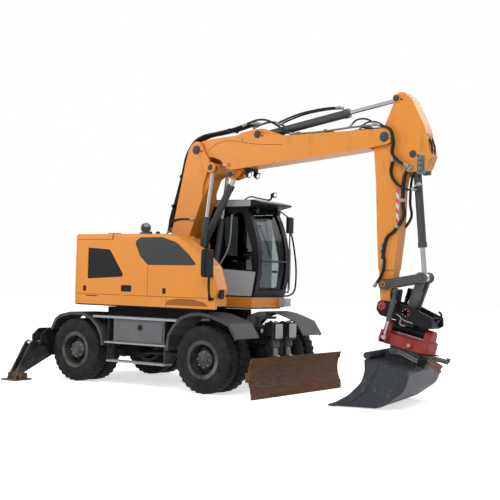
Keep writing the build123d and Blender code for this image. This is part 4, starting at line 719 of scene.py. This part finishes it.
def striped(first, second, pitch=0.075):
    """Slanting bars: the second colour where X + Z, counted in pitches, has an odd whole part."""
    finish = Finish("reflective_strip", Coat_Weight=0.4)
    turns = (finish.x + finish.z) * (1 / pitch)
    bars = turns.math("MODULO", 2.0) > 1.0
    shade = finish.mix(bars, first, second)
    finish.colour(finish.mix(finish.noise(30, 6) * 0.35, shade, (0.25, 0.22, 0.2)))
    return finish.roughness(0.35 + finish.noise(40) * 0.2)


hose = paint("hose_cover", (0.010, 0.010, 0.011), rough=0.55, dust=0.2, dust_top=2.0)
pipe = paint("steel_pipe", (0.16, 0.165, 0.17), rough=0.35, dust=0.2, dust_top=2.0, coat=0.2)
fitting = paint("fitting_zinc", (0.34, 0.33, 0.30), rough=0.35, dust=0.2, dust_top=2.0, coat=0.2)
rusty = paint("rusty_steel", (0.16, 0.075, 0.035), rough=0.75, dust=0.5, dust_top=2.0)
lamp_glass = lens()
strip_finish = striped((0.55, 0.03, 0.02), (0.62, 0.60, 0.56))
print("finishes", len(bpy.data.materials))

# %% [markdown]
# ## Tyres
# The solids carry plain facetted tyres. The real ones have a rounded section and shoulder
# lugs that alternate from side to side. Thirty lugs could be carved one by one, but a wave
# does it in one line: the crown is pushed in between lugs, and the wave is out of step on the
# two sides, so that the bars interlock in the middle. The section lists its points from the
# bead to the middle once and mirrors them.

# %% Tyres
TYRE_WIDTH = 0.275
HALF_SECTION = [(0.112, 0.262), (0.122, 0.290), (0.134, 0.340), (0.1375, 0.390), (0.134, 0.436),
                (0.126, 0.470), (0.120, 0.492), (0.115, 0.514), (0.106, 0.5245), (0.07, 0.5265),
                (0.03, 0.5275), (0.012, 0.5275)]
OTHER_HALF = [(-across, radius) for across, radius in HALF_SECTION]
INNER_MIDDLE = (0.0, 0.258)
SECTION = np.array(OTHER_HALF + HALF_SECTION[::-1] + [INNER_MIDDLE])
LUGS, STEPS_PER_LUG, LUG_SLANT = 30, 12, 6.0
SHOULDER_RADII, GROOVE_DEPTHS = (0.470, 0.497, 0.5275), (0.0, 0.012, 0.016)
MIDDLE_RIB_HALF = 0.05
TWIN_TURN, WHEEL_TURN = 0.35, 0.1  # radians, so that no two tyres stand alike


def tyre_loops(x, y, z, turn):
    """Radius = section - depth * groove, with groove = wave(lugs * angle + slant * |across|)."""
    across, radius = SECTION.T
    u = np.linspace(0, 2 * np.pi, LUGS * STEPS_PER_LUG, endpoint=False)[:, None] + turn
    phase = LUGS * u + np.where(across > 0, np.pi, 0.0) + LUG_SLANT * np.abs(across)
    groove = np.clip(0.2 - 1.5 * np.cos(phase), 0, 1)
    depth = np.interp(radius, SHOULDER_RADII, GROOVE_DEPTHS) * (np.abs(across) >= MIDDLE_RIB_HALF)
    reach = radius - depth * groove
    level = np.broadcast_to(across, reach.shape)
    return np.stack([x + reach * np.sin(u), y + level, z + reach * np.cos(u)], -1)


WHEELS = {}
for place in ("front", "rear"):
    for side in ("left", "right"):
        node = f"tyres_{place}_{side}"
        low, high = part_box(node)
        x, z = (low[0] + high[0]) / 2, (low[2] + high[2]) / 2
        points, faces = [], []
        for k, y in enumerate((low[1] + TYRE_WIDTH / 2, high[1] - TYRE_WIDTH / 2)):
            loops = tyre_loops(x, y, z, TWIN_TURN * k + WHEEL_TURN * len(WHEELS))
            rows, columns = loops.shape[:2]
            faces += (quads(rows, columns, closed=True) + k * rows * columns).tolist()
            points.append(loops.reshape(-1, 3))
        item = build(f"treads_{place}_{side}", f"wheel_{place}_{side}", tyre_rubber,
                     np.concatenate(points), faces, TREAD)
        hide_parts(node)
        WHEELS[place, side] = (x, z, high[1] if side == "left" else low[1])
tell("tyres")

# %% [markdown]
# ## Wheel nuts and hub caps
# A ring of ten studs holds the twin rims, and the hub's cover has its own small bolts. One
# profile is turned with six sides, and the copies are carried round the hub by their centres,
# where an array modifier would need an empty to turn about.


# %% Wheel hubs
HUB_INSET = 0.05  # from the tyre's outer wall in to the hub's face


def bolt_ring(profile, place, radius, count, out):
    """Six-sided turned pieces at equal steps round a centre, on a face that looks to out * Y."""
    x, y, z = place
    return [turned(profile, (x + radius * math.sin(a), y, z + radius * math.cos(a)), (0, out, 0), 6)
            for a in np.linspace(0, 2 * np.pi, count, endpoint=False)]


def stud(length, size):
    """Profile of a nut over half the length, with the thread standing out of it."""
    return [(0, size), (length * 0.55, size), (length * 0.62, size * 0.55), (length, size * 0.5)]


HUB_CAP = [(0, 0.085), (0.012, 0.082), (0.016, 0.070), (0.016, 0.045), (0.026, 0.040), (0.028, 0.012)]
for (place, side), (x, z, outer) in WHEELS.items():
    body = f"wheel_{place}_{side}"
    out = 1 if side == "left" else -1
    disc = outer - out * TYRE_WIDTH
    hub = outer - out * HUB_INSET
    bolts = bolt_ring(stud(0.075, 0.017), (x, disc, z), 0.190, 10, out)
    bolts += bolt_ring(stud(0.022, 0.011), (x, hub - out * 0.012, z), 0.118, 8, out)
    gather(f"hub_bolts_{place}_{side}", body, fitting, bolts, CRISP)
    cap = turned(HUB_CAP, (x, hub - out * 0.004, z), (0, out, 0), 32)
    gather(f"hub_cap_{place}_{side}", body, rim_paint, [cap])
tell("hubs")

# %% [markdown]
# ## Hoses and pipes
# Oil reaches the arm through hoses and pipes. Hoses leave the upper structure beside the
# boom's foot, climb the back of the boom, go over the elbow and become steel pipes along the
# top, then hoses again round the stick's pin. Each row of the table is one bunch: its body,
# finish, radius, the sideways places of its members, and its route in X and Z. Most bunches
# ride on one body and end in fittings before a joint. The long hoses of the boom cross the
# elbow and the outer hoses of the stick cross its pin; for these two the table gives both
# bodies and a point on each, and they stay where they are made, on no body.

# %% Hoses of boom and stick
ELBOW = ("boom_lower", "boom_upper", (-1.22, 0.0, 3.78), (-0.72, 0.0, 4.16))
STICK_BEND = ("boom_upper", "stick", (2.40, 0.0, 4.14), (2.68, 0.0, 3.86))
ROUTES = [
    ("boom_foot_hoses", "boom_lower", hose, 0.015, (-0.215, 0.215),
     [(-1.56, 2.50), (-1.48, 2.68), (-1.38, 2.755), (-1.17, 2.77), (-0.98, 2.75)]),
    ("boom_long_hoses", ELBOW, hose, 0.020, (-0.12, -0.06, 0.0, 0.06),
     [(-1.60, 2.55), (-1.56, 2.80), (-1.46, 3.10), (-1.34, 3.50), (-1.25, 3.85), (-1.10, 4.07), (-0.90, 4.17),
      (-0.60, 4.21), (-0.30, 4.25), (-0.07, 4.30), (0.14, 4.335)]),
    ("hump_hoses", "boom_upper", hose, 0.017, (-0.15, 0.15),
     [(-0.07, 4.29), (0.20, 4.36), (0.40, 4.345), (0.60, 4.25), (0.80, 4.12), (0.95, 4.09)]),
    ("stick_ram_hoses", "stick_barrel", hose, 0.016, (-0.05, 0.05),
     [(0.50, 4.29), (0.75, 4.37), (1.02, 4.435), (1.40, 4.475), (1.70, 4.475)]),
    ("boom_top_pipes", "boom_upper", pipe, 0.013, (-0.167, -0.138, 0.138, 0.167),
     [(0.85, 4.10), (1.34, 4.095), (2.00, 4.135), (2.36, 4.145)]),
    ("boom_top_loops", "boom_upper", hose, 0.014, (-0.156, 0.156),
     [(1.92, 4.14), (2.05, 4.24), (2.22, 4.24), (2.38, 4.15)]),
    ("stick_pin_hoses", STICK_BEND, hose, 0.018, (-0.158, -0.198),
     [(2.40, 4.15), (2.62, 4.06), (2.68, 3.86), (2.67, 3.70), (2.80, 3.56), (2.95, 3.50)]),
    ("stick_low_hoses", "stick", hose, 0.016, (-0.14, -0.18),
     [(2.68, 3.66), (2.65, 3.40), (2.78, 3.22), (2.98, 3.15), (3.12, 3.24)]),
    ("stick_head_hoses", "stick", hose, 0.015, (-0.10, 0.10),
     [(2.95, 4.18), (3.06, 4.04), (3.15, 3.81), (3.13, 3.64), (2.95, 3.51)]),
    ("stick_outer_hose", "stick", hose, 0.014, (-0.05, 0.05), [(3.17, 3.98), (3.25, 3.76), (3.22, 3.53)]),
    ("stick_front_bundle", "stick", hose, 0.021, (-0.155, -0.115, 0.115),
     [(2.96, 3.50), (2.86, 3.35), (2.835, 3.00), (2.86, 2.77), (2.72, 2.56), (2.58, 2.42), (2.52, 2.05)]),
    ("tool_supply_hoses", "stick", hose, 0.016, (-0.16, -0.125, 0.125, 0.16),
     [(2.50, 2.35), (2.56, 2.10), (2.52, 1.90), (2.40, 1.72)]),
]


def hose_end(radius):
    """Profile of the fitting on a hose: its hexagon, then a sleeve over the cover."""
    return [(-0.004, radius * 0.8), (0, radius * 1.45), (0.035, radius * 1.45), (0.04, radius * 1.2),
            (0.085, radius * 1.15)]


def length_along(route):
    """Sum of the short straight runs of the smooth path through a route in X and Z."""
    runs = np.diff(smooth_path([(x, 0, z) for x, z in route]), axis=0)
    return float(np.linalg.norm(runs, axis=1).sum())


for name, body, finish, radius, offsets, route in ROUTES:
    members = [tube([(x, y, z) for x, z in route], radius) for y in offsets]
    gather(name, body, finish, members, ROUND)
    ends = []
    for y in offsets:
        for here, near in ((route[0], route[1]), (route[-1], route[-2])):
            axis = (near[0] - here[0], 0, near[1] - here[1])
            ends.append(turned(hose_end(radius), (here[0], y, here[1]), axis, 8))
    gather(f"{name}_fittings", body, fitting, ends, CRISP)
    print(name, len(offsets), "of", round(length_along(route), 2), "m")
tell("hose bunches")

# %% [markdown]
# ## Clamps and the valve on the stick
# Bunches are held by flat clamps. Each clamp is a rounded slab across the bunch, tilted with
# it, so that two numbers and an angle place it. On the real arm a valve block at the stick's
# pin shares out the oil: here it is a stepped block on each side, with three hexagon plugs.


# %% Clamps and valve block
CLAMP_SIZE = 0.05


def clamp(x, z, angle, y0, y1):
    """Square slab across the bunch from y0 to y1, turned by angle in the X Z plane."""
    half = CLAMP_SIZE / 2
    turn = np.array([[math.cos(angle), math.sin(angle)], [-math.sin(angle), math.cos(angle)]])
    return slab(np.array(oblong(-half, half, -half, half)) @ turn + (x, z), y0, y1, "y", 0.012, 0.004)


CLAMPS = {
    "boom_lower": [(-1.335, 3.50, 1.3, -0.16, 0.10), (-1.50, 3.00, 1.2, -0.16, 0.10)],
    "boom_upper": [(1.00, 4.098, 0.0, -0.17, 0.13), (1.50, 4.105, 0.05, -0.17, 0.13),
                   (2.15, 4.14, 0.03, -0.17, 0.13), (-0.35, 4.235, 0.1, -0.16, 0.10)],
    "stick": [(2.84, 3.00, 1.5, -0.185, -0.085), (2.76, 2.62, 0.9, -0.185, -0.085),
              (3.02, 3.16, 0.4, -0.2, -0.11)],
}
for body, spots in CLAMPS.items():
    gather(f"hose_clamps_{body}", body, fitting if body == "stick" else plastic,
           [clamp(*spot) for spot in spots])
VALVE_STEPS = [(oblong(3.04, 3.17, 3.38, 3.66), 0.082, 0.122), (oblong(3.07, 3.15, 3.42, 3.62), 0.12, 0.145)]
valve = [slab(outline, *sorted((side * near, side * far)), "y", 0.02, 0.006)
         for outline, near, far in VALVE_STEPS for side in (-1, 1)]
valve_plug = [(0, 0.030), (0.03, 0.030), (0.035, 0.02), (0.05, 0.02)]
for z in (3.46, 3.53, 3.60):
    valve += on_faces(valve_plug, 3.115, z, (-0.145, 0.145), 6)
gather("stick_valve_block", "stick", pipe, valve, CRISP)
tell("clamps and valve")

# %% [markdown]
# ## Pins
# Every joint of the boom turns on a pin whose head shows on both sides: a flange, a raised
# boss, and a bolt that stops the pin from turning. All are one profile, scaled to the pin.

# %% Pin heads
ROCKER_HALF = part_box("rocker")[1][1] - 0.020
PINS = [("boom_lower", -0.978, 3.930, 0.205, 0.075), ("boom_upper", -0.290, 3.500, 0.18, 0.05),
        ("boom_upper", 0.246, 4.123, 0.19, 0.062), ("boom_upper", 2.535, 3.951, 0.188, 0.075),
        ("stick", 2.692, 4.524, 0.12, 0.055), ("stick", 2.975, 3.682, 0.12, 0.055),
        ("stick", 2.555, 1.759, ROCKER_HALF, 0.048)]
STOP_BOLT = [(-0.01, 0.014), (0.012, 0.014), (0.018, 0.010)]


def pin_head(radius):
    """Profile of a pin's head: flange, boss and the hollow of its grease nipple."""
    return [(-0.01, radius), (0.006, radius), (0.012, radius * 0.92), (0.013, radius * 0.62),
            (0.024, radius * 0.58), (0.026, radius * 0.25), (0.021, radius * 0.2)]


for number, (body, x, z, half, radius) in enumerate(PINS):
    heads = on_faces(pin_head(radius), x, z, (-half, half), 28)
    heads += on_faces(STOP_BOLT, x + radius * 1.5, z - radius * 0.4, (-half, half), 6)
    gather(f"pin_heads_{number}", body, cast_grey, heads)
tell("pins")

# %% [markdown]
# ## Welds, plugs and grease nipples
# The upper boom is a box of sheet welded along its edges. A weld is a thin raised bead, so it
# is a thin tube half sunk into the side. A plug covers a bore on each side, and two nipples
# on each side take grease to the pins.

# %% Boom sides
BOOM_HALF = 0.185
BOOM_SIDES = (-BOOM_HALF, BOOM_HALF)
WELD = [(-0.736, 3.910), (-0.644, 3.972), (-0.522, 4.024), (-0.379, 4.050), (-0.217, 4.041), (-0.015, 4.005),
        (0.223, 3.968), (0.495, 3.945), (0.715, 3.933)]
PLUG = [(-0.004, 0.032), (0.002, 0.032), (0.003, 0.024), (-0.002, 0.022), (-0.002, 0.004)]
NIPPLE = [(-0.004, 0.020), (0.008, 0.020), (0.016, 0.012), (0.022, 0.010), (0.024, 0.003)]

welds = [tube([(x, y, z) for x, z in WELD], 0.0045, sides=6) for y in BOOM_SIDES]
# The beads borrow the darker yellow that is painted as shade in the nose recess.
gather("boom_weld", "boom_upper", painted_shade_yellow, welds, ROUND)
gather("boom_plugs", "boom_upper", plastic, on_faces(PLUG, -0.305, 3.650, BOOM_SIDES, 20))
nipples = on_faces(NIPPLE, -0.057, 4.064, BOOM_SIDES, 10) + on_faces(NIPPLE, 0.572, 3.660, BOOM_SIDES, 10)
gather("boom_nipples", "boom_upper", fitting, nipples)
tell("boom sides")

# %% [markdown]
# ## Eyes of the hoist rods
# The two hoist rods end in eyes outside the boom. Each eye has a painted ring, with the bare
# end of the pin standing in its bore. The two profiles share the edge of the bore, so that
# no gap shows between them.

# %% Hoist eyes
EYE_X, EYE_Z = -0.606, 3.611
BORE_EDGE = [(0.022, 0.050), (0.022, 0.044)]
EYE_RING = [(-0.016, 0.088), (0.020, 0.088), (0.028, 0.080), (0.029, 0.052)] + BORE_EDGE
EYE_PIN = BORE_EDGE + [(0.036, 0.042), (0.040, 0.034), (0.040, 0.004)]

rod_low, rod_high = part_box("hoist_rod")
rod_faces = (rod_low[1], rod_high[1])
eye_rings = on_faces(EYE_RING, EYE_X, EYE_Z, rod_faces, 32)
gather("hoist_eye_rings", "hoist_rod", arm_yellow, eye_rings)
eye_pins = on_faces(EYE_PIN, EYE_X, EYE_Z, rod_faces, 24)
gather("hoist_eye_pins", "hoist_rod", cast_grey, eye_pins)
print("hoist rods between", round(rod_low[1], 3), round(rod_high[1], 3))
tell("hoist eyes")

# %% [markdown]
# ## Lamps
# A work lamp is a shallow housing with a bright bowl behind ribbed glass. Both are turned
# about the direction that the lamp looks in, so one function makes each lamp from a place and
# a direction. The round lamp on the hood is larger, and its glass is dark when it is off.


# %% Lamps
def work_lamp(name, body, place, direction, radius):
    """Turned housing behind place and a flat domed glass in front of it."""
    shell = [(-0.075, radius * 0.35), (-0.07, radius * 0.6), (-0.03, radius * 0.95), (0, radius * 1.05),
             (0.012, radius * 1.05), (0.012, radius * 0.92)]
    glass_face = [(0.002, radius * 0.9), (0.010, radius * 0.88), (0.015, radius * 0.5), (0.016, 0.004)]
    gather(f"{name}_shell", body, plastic, [turned(shell, place, direction)])
    gather(f"{name}_lens", body, lamp_glass, [turned(glass_face, place, direction)])


BOOM_LAMP_Y, FRONT_LAMP_Y = 0.12, 0.4464
for side, y in (("right", -BOOM_LAMP_Y), ("left", BOOM_LAMP_Y)):
    work_lamp(f"boom_lamp_{side}", "boom_upper", (0.06, y, 3.485), (0.9, 0, -0.35), 0.055)
lamp_bar = [slab(oblong(-0.02, 0.05, 3.55, 3.63), -0.155, 0.155, "y", 0.012, 0.004)]
lamp_bar += [slab(oblong(-0.005, 0.035, 3.47, 3.56), y - 0.03, y + 0.03, "y", 0.012, 0.004)
             for y in (-BOOM_LAMP_Y, BOOM_LAMP_Y)]
gather("boom_lamp_bar", "boom_upper", plastic, lamp_bar)

HOOD_LAMP, HOOD_LAMP_LOOKS = (-1.375, -0.98, 2.575), (0.55, -0.8, 0.1)
HOOD_BOWL = [(-0.085, 0.02), (-0.07, 0.055), (-0.03, 0.082), (0.01, 0.088), (0.03, 0.085)]
HOOD_GLASS = [(0.028, 0.082), (0.045, 0.070), (0.052, 0.04), (0.054, 0.006)]
hood_bowl = turned(HOOD_BOWL, HOOD_LAMP, HOOD_LAMP_LOOKS, 28)
gather("hood_lamp_bowl", "upper", chrome_rod, [hood_bowl])
hood_lens = [turned(HOOD_GLASS, HOOD_LAMP, HOOD_LAMP_LOOKS, 28),
             slab(oblong(-1.46, -1.30, 2.468, 2.50), -1.05, -0.92, "y", 0.015, 0.005),
             slab(oblong(-1.455, -1.405, 2.49, 2.64), -1.00, -0.94, "y", 0.015, 0.005)]
gather("hood_lamp_lens", "upper", gloss_panel, hood_lens)

for y in (0.45, 1.10):
    work_lamp(f"cab_lamp_{round(y * 100)}", "upper", (-0.16, y, 3.075), (1, 0, -0.15), 0.05)
for side, y in (("right", -FRONT_LAMP_Y), ("left", FRONT_LAMP_Y)):
    work_lamp(f"front_lamp_{side}", "chassis", (0.60, y, 0.98), (1, 0, 0), 0.05)
tell("lamps")

# %% [markdown]
# ## Mirrors, rails and the roof's arm
# A mirror is a shell of black plastic with a bright face, held by a bent tube. The rails that
# the driver holds on to are tubes as well, and so is the arm over the roof that ends in a
# lamp. They are small, but a machine without them looks like a toy.

# %% Mirrors, rails and the roof's arm
shells = [slab(oblong(-1.47, -1.254, 1.795, 2.225), 0.135, 0.238, "x", 0.05, 0.02),
          slab(oblong(1.286, 1.464, 2.595, 2.885), -0.114, -0.06, "x", 0.05, 0.02)]
gather("mirror_shells", "upper", plastic, shells, ROUND)
mirrors = [slab(oblong(-1.45, -1.275, 1.82, 2.20), 0.132, 0.138, "x", 0.04, 0.002),
           slab(oblong(1.30, 1.45, 2.61, 2.87), -0.118, -0.112, "x", 0.04, 0.002)]
gather("mirror_faces", "upper", chrome_rod, mirrors, ROUND)
RIGHT_ARM = [(0.19, -1.32, 1.82), (0.19, -1.31, 1.60), (0.215, -1.285, 1.48), (0.262, -1.18, 1.47),
             (0.275, -1.12, 1.55)]
LEFT_ARM = [(-0.085, 1.40, 2.60), (-0.085, 1.47, 2.50), (-0.085, 1.60, 2.05), (-0.085, 1.59, 1.64),
            (-0.10, 1.45, 1.52), (-0.12, 1.25, 1.50)]
arms = [tube(RIGHT_ARM, 0.016, sides=8, steps=6),
        slab(oblong(-1.17, -1.05, 1.47, 1.61), 0.255, 0.30, "x", 0.02, 0.006),
        tube(LEFT_ARM, 0.016, sides=8, steps=6)]
gather("mirror_arms", "upper", plastic, arms, ROUND)
BOOM_RAIL = [(-0.54, 0.262, 2.87), (-0.585, 0.258, 2.34), (-0.78, 0.258, 1.99)]
DOOR_RAIL = [(-0.02, 1.262, 1.62), (-0.02, 1.30, 1.66), (-0.02, 1.30, 2.28), (-0.02, 1.262, 2.32)]
rails = [tube(BOOM_RAIL, 0.013, sides=8), tube(DOOR_RAIL, 0.013, sides=8, steps=4)]
gather("grab_rails", "upper", fitting, rails, ROUND)
work_lamp("roof_lamp", "upper", (0.12, 0.55, 3.20), (1, -0.15, 0), 0.046)
ROOF_ARM = [(-0.52, 0.55, 3.12), (-0.38, 0.55, 3.185), (-0.20, 0.55, 3.155), (0.00, 0.55, 3.118)]
ROOF_ARM_TIP = [(-0.02, 0.55, 3.12), (0.045, 0.55, 3.13), (0.062, 0.55, 3.19)]
roof_arm = [tube(ROOF_ARM, 0.012, sides=8), tube(ROOF_ARM_TIP, 0.016, sides=8)]
gather("roof_camera", "upper", plastic, roof_arm, ROUND)
tell("mirrors, rails and roof arm")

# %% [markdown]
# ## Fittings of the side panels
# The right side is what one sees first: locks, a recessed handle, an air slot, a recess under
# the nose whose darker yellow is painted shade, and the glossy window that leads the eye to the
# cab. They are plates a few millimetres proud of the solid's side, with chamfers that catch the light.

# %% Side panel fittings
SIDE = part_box("right_body")[0][1]
LOCKS = [(-2.45, 1.565), (-0.735, 1.562)]
KEYHOLE = [(0, 0.018), (0.004, 0.017), (0.005, 0.008)]
LOCK_HALF_WIDTH, LOCK_HALF_HEIGHT, KEYHOLE_LIFT = 0.032, 0.045, 0.010

locks = [plate(oblong(x - LOCK_HALF_WIDTH, x + LOCK_HALF_WIDTH, z - LOCK_HALF_HEIGHT, z + LOCK_HALF_HEIGHT),
               SIDE, 0.007, 0.018, 0.003) for x, z in LOCKS]
locks += [turned(KEYHOLE, (x, SIDE - 0.006, z + KEYHOLE_LIFT), (0, -1, 0), 16) for x, z in LOCKS]
gather("panel_locks", "upper", plastic, locks)
grip = [(-1.62, SIDE - 0.004, 1.60), (-1.60, SIDE - 0.016, 1.605), (-1.46, SIDE - 0.016, 1.605),
        (-1.44, SIDE - 0.004, 1.60)]
handle = [plate(oblong(-1.64, -1.42, 1.53, 1.635), SIDE, 0.004, 0.025, 0.003),
          plate(oblong(-2.413, -2.163, 1.438, 1.452), SIDE, 0.003, 0.006, 0.001),
          tube(grip, 0.008, sides=8, steps=5)]
gather("panel_handle", "upper", plastic, handle)
BROW = [(-0.72, 1.345), (-0.66, 1.415), (-0.45, 1.452), (-0.15, 1.445), (0.06, 1.405), (0.16, 1.345)]
# The recess is sunk into the side, and its plate takes the darker yellow as painted shade under the nose's
# brow.
recess = plate(BROW, SIDE, 0.0015, 0.03, 0.001, sink=0.01)
gather("nose_recess_shade", "upper", painted_shade_yellow, [recess])
WINDOW = [(-1.366, 2.335), (-1.243, 2.405), (-0.80, 2.407), (-0.50, 2.33), (-0.276, 2.157), (-0.092, 1.979),
          (-1.075, 1.973), (-1.245, 2.11)]
window = plate(WINDOW, SIDE, 0.001, 0.05, 0.003, sink=0.006)
gather("gloss_window", "upper", gloss_panel, [window])
KNOB = [(-0.01, 0.035), (0.02, 0.035), (0.035, 0.028), (0.042, 0.012)]
knobs = [turned(KNOB, (x, -1.12, 2.47), (0, 0, 1), 20) for x in (-1.16, -1.0)]
gather("hood_knobs", "engine_hood", plastic, knobs)
tell("side panels")

# %% [markdown]
# ## The cab's skin
# The cab is black with a few pale pieces: the lower side panel, a band along the roof and the
# top of the visor. The windscreen has a bar across it and two wiper arms. The band and the
# visor take their places from the roof's own box, so that they stay on it.

# %% Cab panel, roof band and windscreen bar
cab_low, cab_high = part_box("cab_shell")
roof_low, roof_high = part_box("cab_roof")
roof_top = roof_high[2]
print("cab", [round(v, 3) for v in cab_low], [round(v, 3) for v in cab_high], "roof", round(roof_top, 3))

LOWER_PANEL = [(-0.80, 1.50), (-0.115, 1.50), (-0.045, 1.905), (-0.80, 1.945)]
lower_panel = plate(LOWER_PANEL, cab_low[1], 0.006, 0.02, 0.003)
gather("cab_lower_panel", "upper", panel_grey, [lower_panel])
band = oblong(roof_low[0] + 0.55, roof_high[0] - 0.22, roof_top - 0.128, roof_top - 0.022)
gather("roof_band", "upper", panel_grey,
       [plate(band, roof_low[1], 0.004, 0.03, 0.002), plate(band, roof_high[1], 0.004, 0.03, 0.002, out=1)])
brim = [(-0.135, roof_top - 0.020), (0.030, roof_top - 0.066), (0.032, roof_top - 0.058),
        (-0.133, roof_top - 0.012)]
visor = slab(brim, roof_low[1] + 0.02, roof_high[1] - 0.02, "y", 0.002, 0.001)
gather("visor_top", "upper", panel_grey, [visor])
bars = [tube([(0.006, 0.36, 2.09), (0.014, 0.76, 2.09), (0.006, 1.16, 2.09)], 0.018, sides=8, steps=6),
        tube([(-0.225, 0.76, 2.92), (-0.10, 0.70, 2.52), (0.0, 0.60, 2.20)], 0.008, sides=8, steps=5),
        tube([(-0.145, 0.50, 2.70), (-0.06, 0.58, 2.42), (0.012, 0.66, 2.14)], 0.010, sides=8, steps=5)]
gather("windscreen_bar", "upper", plastic, bars, ROUND)
corner = slab(oblong(-0.086, 0.055, 1.325, 1.465), 1.06, 1.25, "y", 0.02, 0.008)
gather("platform_corner", "upper", panel_grey, [corner])
tell("cab skin")

# %% [markdown]
# ## Tool head
# The tool head tilts on its two small cylinders and turns on a rotor. Its pins carry red
# caps with a ring of bolts, and bent pipes feed the cylinders past the tilt axis. The rotor's
# side bolts sit at different heights, because the rotor is rolled a little to one side.

# %% Tool head details
HEAD_PINS = [(2.568, 1.437), (2.959, 1.351)]
HEAD_CAP_Y, HEAD_PIPE_Y = 0.200, 0.214
HEAD_CAP = [(-0.004, 0.068), (0.010, 0.068), (0.016, 0.060), (0.016, 0.004)]
CAP_THICKNESS = 0.016
SMALL_BOLT = [(0, 0.009), (0.0072, 0.009), (0.009, 0.0054)]
ROTOR_BOLT = [(0, 0.032), (0.010, 0.032), (0.014, 0.02), (0.020, 0.018)]

caps, bolts = [], []
for x, z in HEAD_PINS:
    caps += on_faces(HEAD_CAP, x, z, (-HEAD_CAP_Y, HEAD_CAP_Y), 28)
    for out in (-1, 1):
        bolts += bolt_ring(SMALL_BOLT, (x, out * (HEAD_CAP_Y + CAP_THICKNESS), z), 0.046, 6, out)
gather("head_pin_caps", "tool_head", red, caps)
gather("head_pin_bolts", "tool_head", fitting, bolts)
pipes = []
for out in (-1, 1):
    y = out * HEAD_PIPE_Y
    inner = y - out * 0.02
    pipes += [tube([(2.80, inner, 1.325), (2.83, y, 1.318), (2.885, y, 1.274), (2.872, y, 1.195),
                    (2.905, y, 1.166), (2.95, inner, 1.163)], 0.010, sides=8, steps=5),
              tube([(2.90, inner, 1.262), (2.93, y, 1.246), (3.00, y, 1.222), (3.07, inner, 1.200)],
                   0.009, sides=8, steps=5)]
gather("head_bent_pipes", "tool_head", fitting, pipes, ROUND)
rotor_bolts = [turned(ROTOR_BOLT, (3.073, out * 0.325, 0.896 + out * 0.012), (0, out, 0), 6)
               for out in (-1, 1)]
gather("rotor_boss_bolts", "rotor_housing", fitting, rotor_bolts)
tell("tool head")

# %% [markdown]
# ## Pipes and rods on the hitch
# Below the rotor, the hitch turns with the bucket. Two pipes and a block feed its lock, and
# three rusty rods with heads lie along it.

# %% Hitch pipes and rods
HITCH_PIPE = [(2.76, -0.215, 0.80), (2.86, -0.245, 0.775), (3.05, -0.245, 0.692), (3.18, -0.225, 0.635)]
HITCH_ROD = [(0, 0.012), (0.005, 0.019), (0.24, 0.019), (0.245, 0.024), (0.275, 0.024), (0.28, 0.010)]

hitch_pipes = [tube([(x, y, z + lift) for x, y, z in HITCH_PIPE], 0.017, steps=5) for lift in (0.0, 0.040)]
gather("hitch_pipes", "tool", pipe, hitch_pipes, ROUND)
block = slab([(3.17, 0.60), (3.29, 0.555), (3.33, 0.70), (3.20, 0.75)], -0.26, -0.12, "y", 0.02, 0.006)
gather("hitch_block", "tool", plastic, [block])
rods = [turned(HITCH_ROD, (3.275, y, z), (0.89, 0, -0.455), 12)
        for y, z in ((-0.20, 0.700), (-0.15, 0.725), (-0.20, 0.655))]
gather("hitch_rods", "tool", rusty, rods, ROUND)
tell("hitch")

# %% [markdown]
# ## Undercarriage
# Sheet covers shield the blade cylinders, hoses reach them from the frame, and the tool
# boxes close with round latches. The slewing ring is bolted all round, and each outrigger
# carries a pale strip.

# %% Undercarriage details
RING_X, RING_RADIUS, RING_Z, RING_BOLTS = -1.3, 0.55, 1.19, 40
RING_BOLT = [(0, 0.014), (0.016, 0.014), (0.020, 0.008)]
LATCH = [(0, 0.045), (0.008, 0.045), (0.012, 0.036), (0.006, 0.030), (0.006, 0.018), (0.014, 0.014)]

covers = [slab(oblong(y0, y1, 0.86, 1.085), 0.761, 0.772, "x", 0.02, 0.003)
          for y0, y1 in ((-0.30, -0.10), (0.10, 0.30))]
gather("blade_ram_covers", "chassis", panel_grey, covers)
supply = [tube([(0.57, out * 0.27, 0.98), (0.66, out * 0.30, 1.13), (0.74, out * 0.33, 1.06),
                (0.73, out * 0.335, 0.88), (0.66, out * 0.30, 0.80)], 0.012, sides=8, steps=6)
          for out in (-1, 1)]
supply += [tube([(0.56, y, 0.95), (0.64, y + 0.02, 1.00), (0.70, y, 0.90), (0.62, y - 0.03, 0.80)],
                0.011, sides=8, steps=6) for y in (-0.05, 0.0, 0.05)]
gather("blade_hoses", "chassis", hose, supply, ROUND)
steps_round = np.linspace(0, 2 * np.pi, RING_BOLTS, endpoint=False)
centres = [(RING_X + RING_RADIUS * math.cos(a), RING_RADIUS * math.sin(a), RING_Z) for a in steps_round]
ring = [turned(RING_BOLT, centre, (0, 0, 1), 6) for centre in centres]
gather("slewing_ring_bolts", "chassis", fitting, ring)
latch_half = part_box("toolboxes")[0][1] + 0.002
latches = on_faces(LATCH, -1.24, 0.96, (latch_half, -latch_half), 24)
gather("toolbox_latches", "chassis", plastic, latches)
for side, out in (("right", -1), ("left", 1)):
    strip = slab(oblong(out * 1.30, out * 1.52, 0.50, 0.53), -3.482, -3.486, "x", 0.01, 0.001)
    gather(f"leg_strips_{side}", f"outrigger_{side}", panel_grey, [strip])
tell("undercarriage")

# %% [markdown]
# ## Reflective strip
# A strip with slanting bars runs down both sides of the stick, so that it shows at night, and
# the hose bundle lies over it. It is a plate thin enough to look like film.

# %% Reflective strip
STRIP = [(2.715, 3.17), (2.765, 3.17), (2.775, 2.60), (2.725, 2.60)]
strips = [slab(STRIP, out * 0.116, out * 0.1215, "y", 0.006, 0.001) for out in (-1, 1)]
gather("stick_strip", "stick", strip_finish, strips)
tell("stick markings")
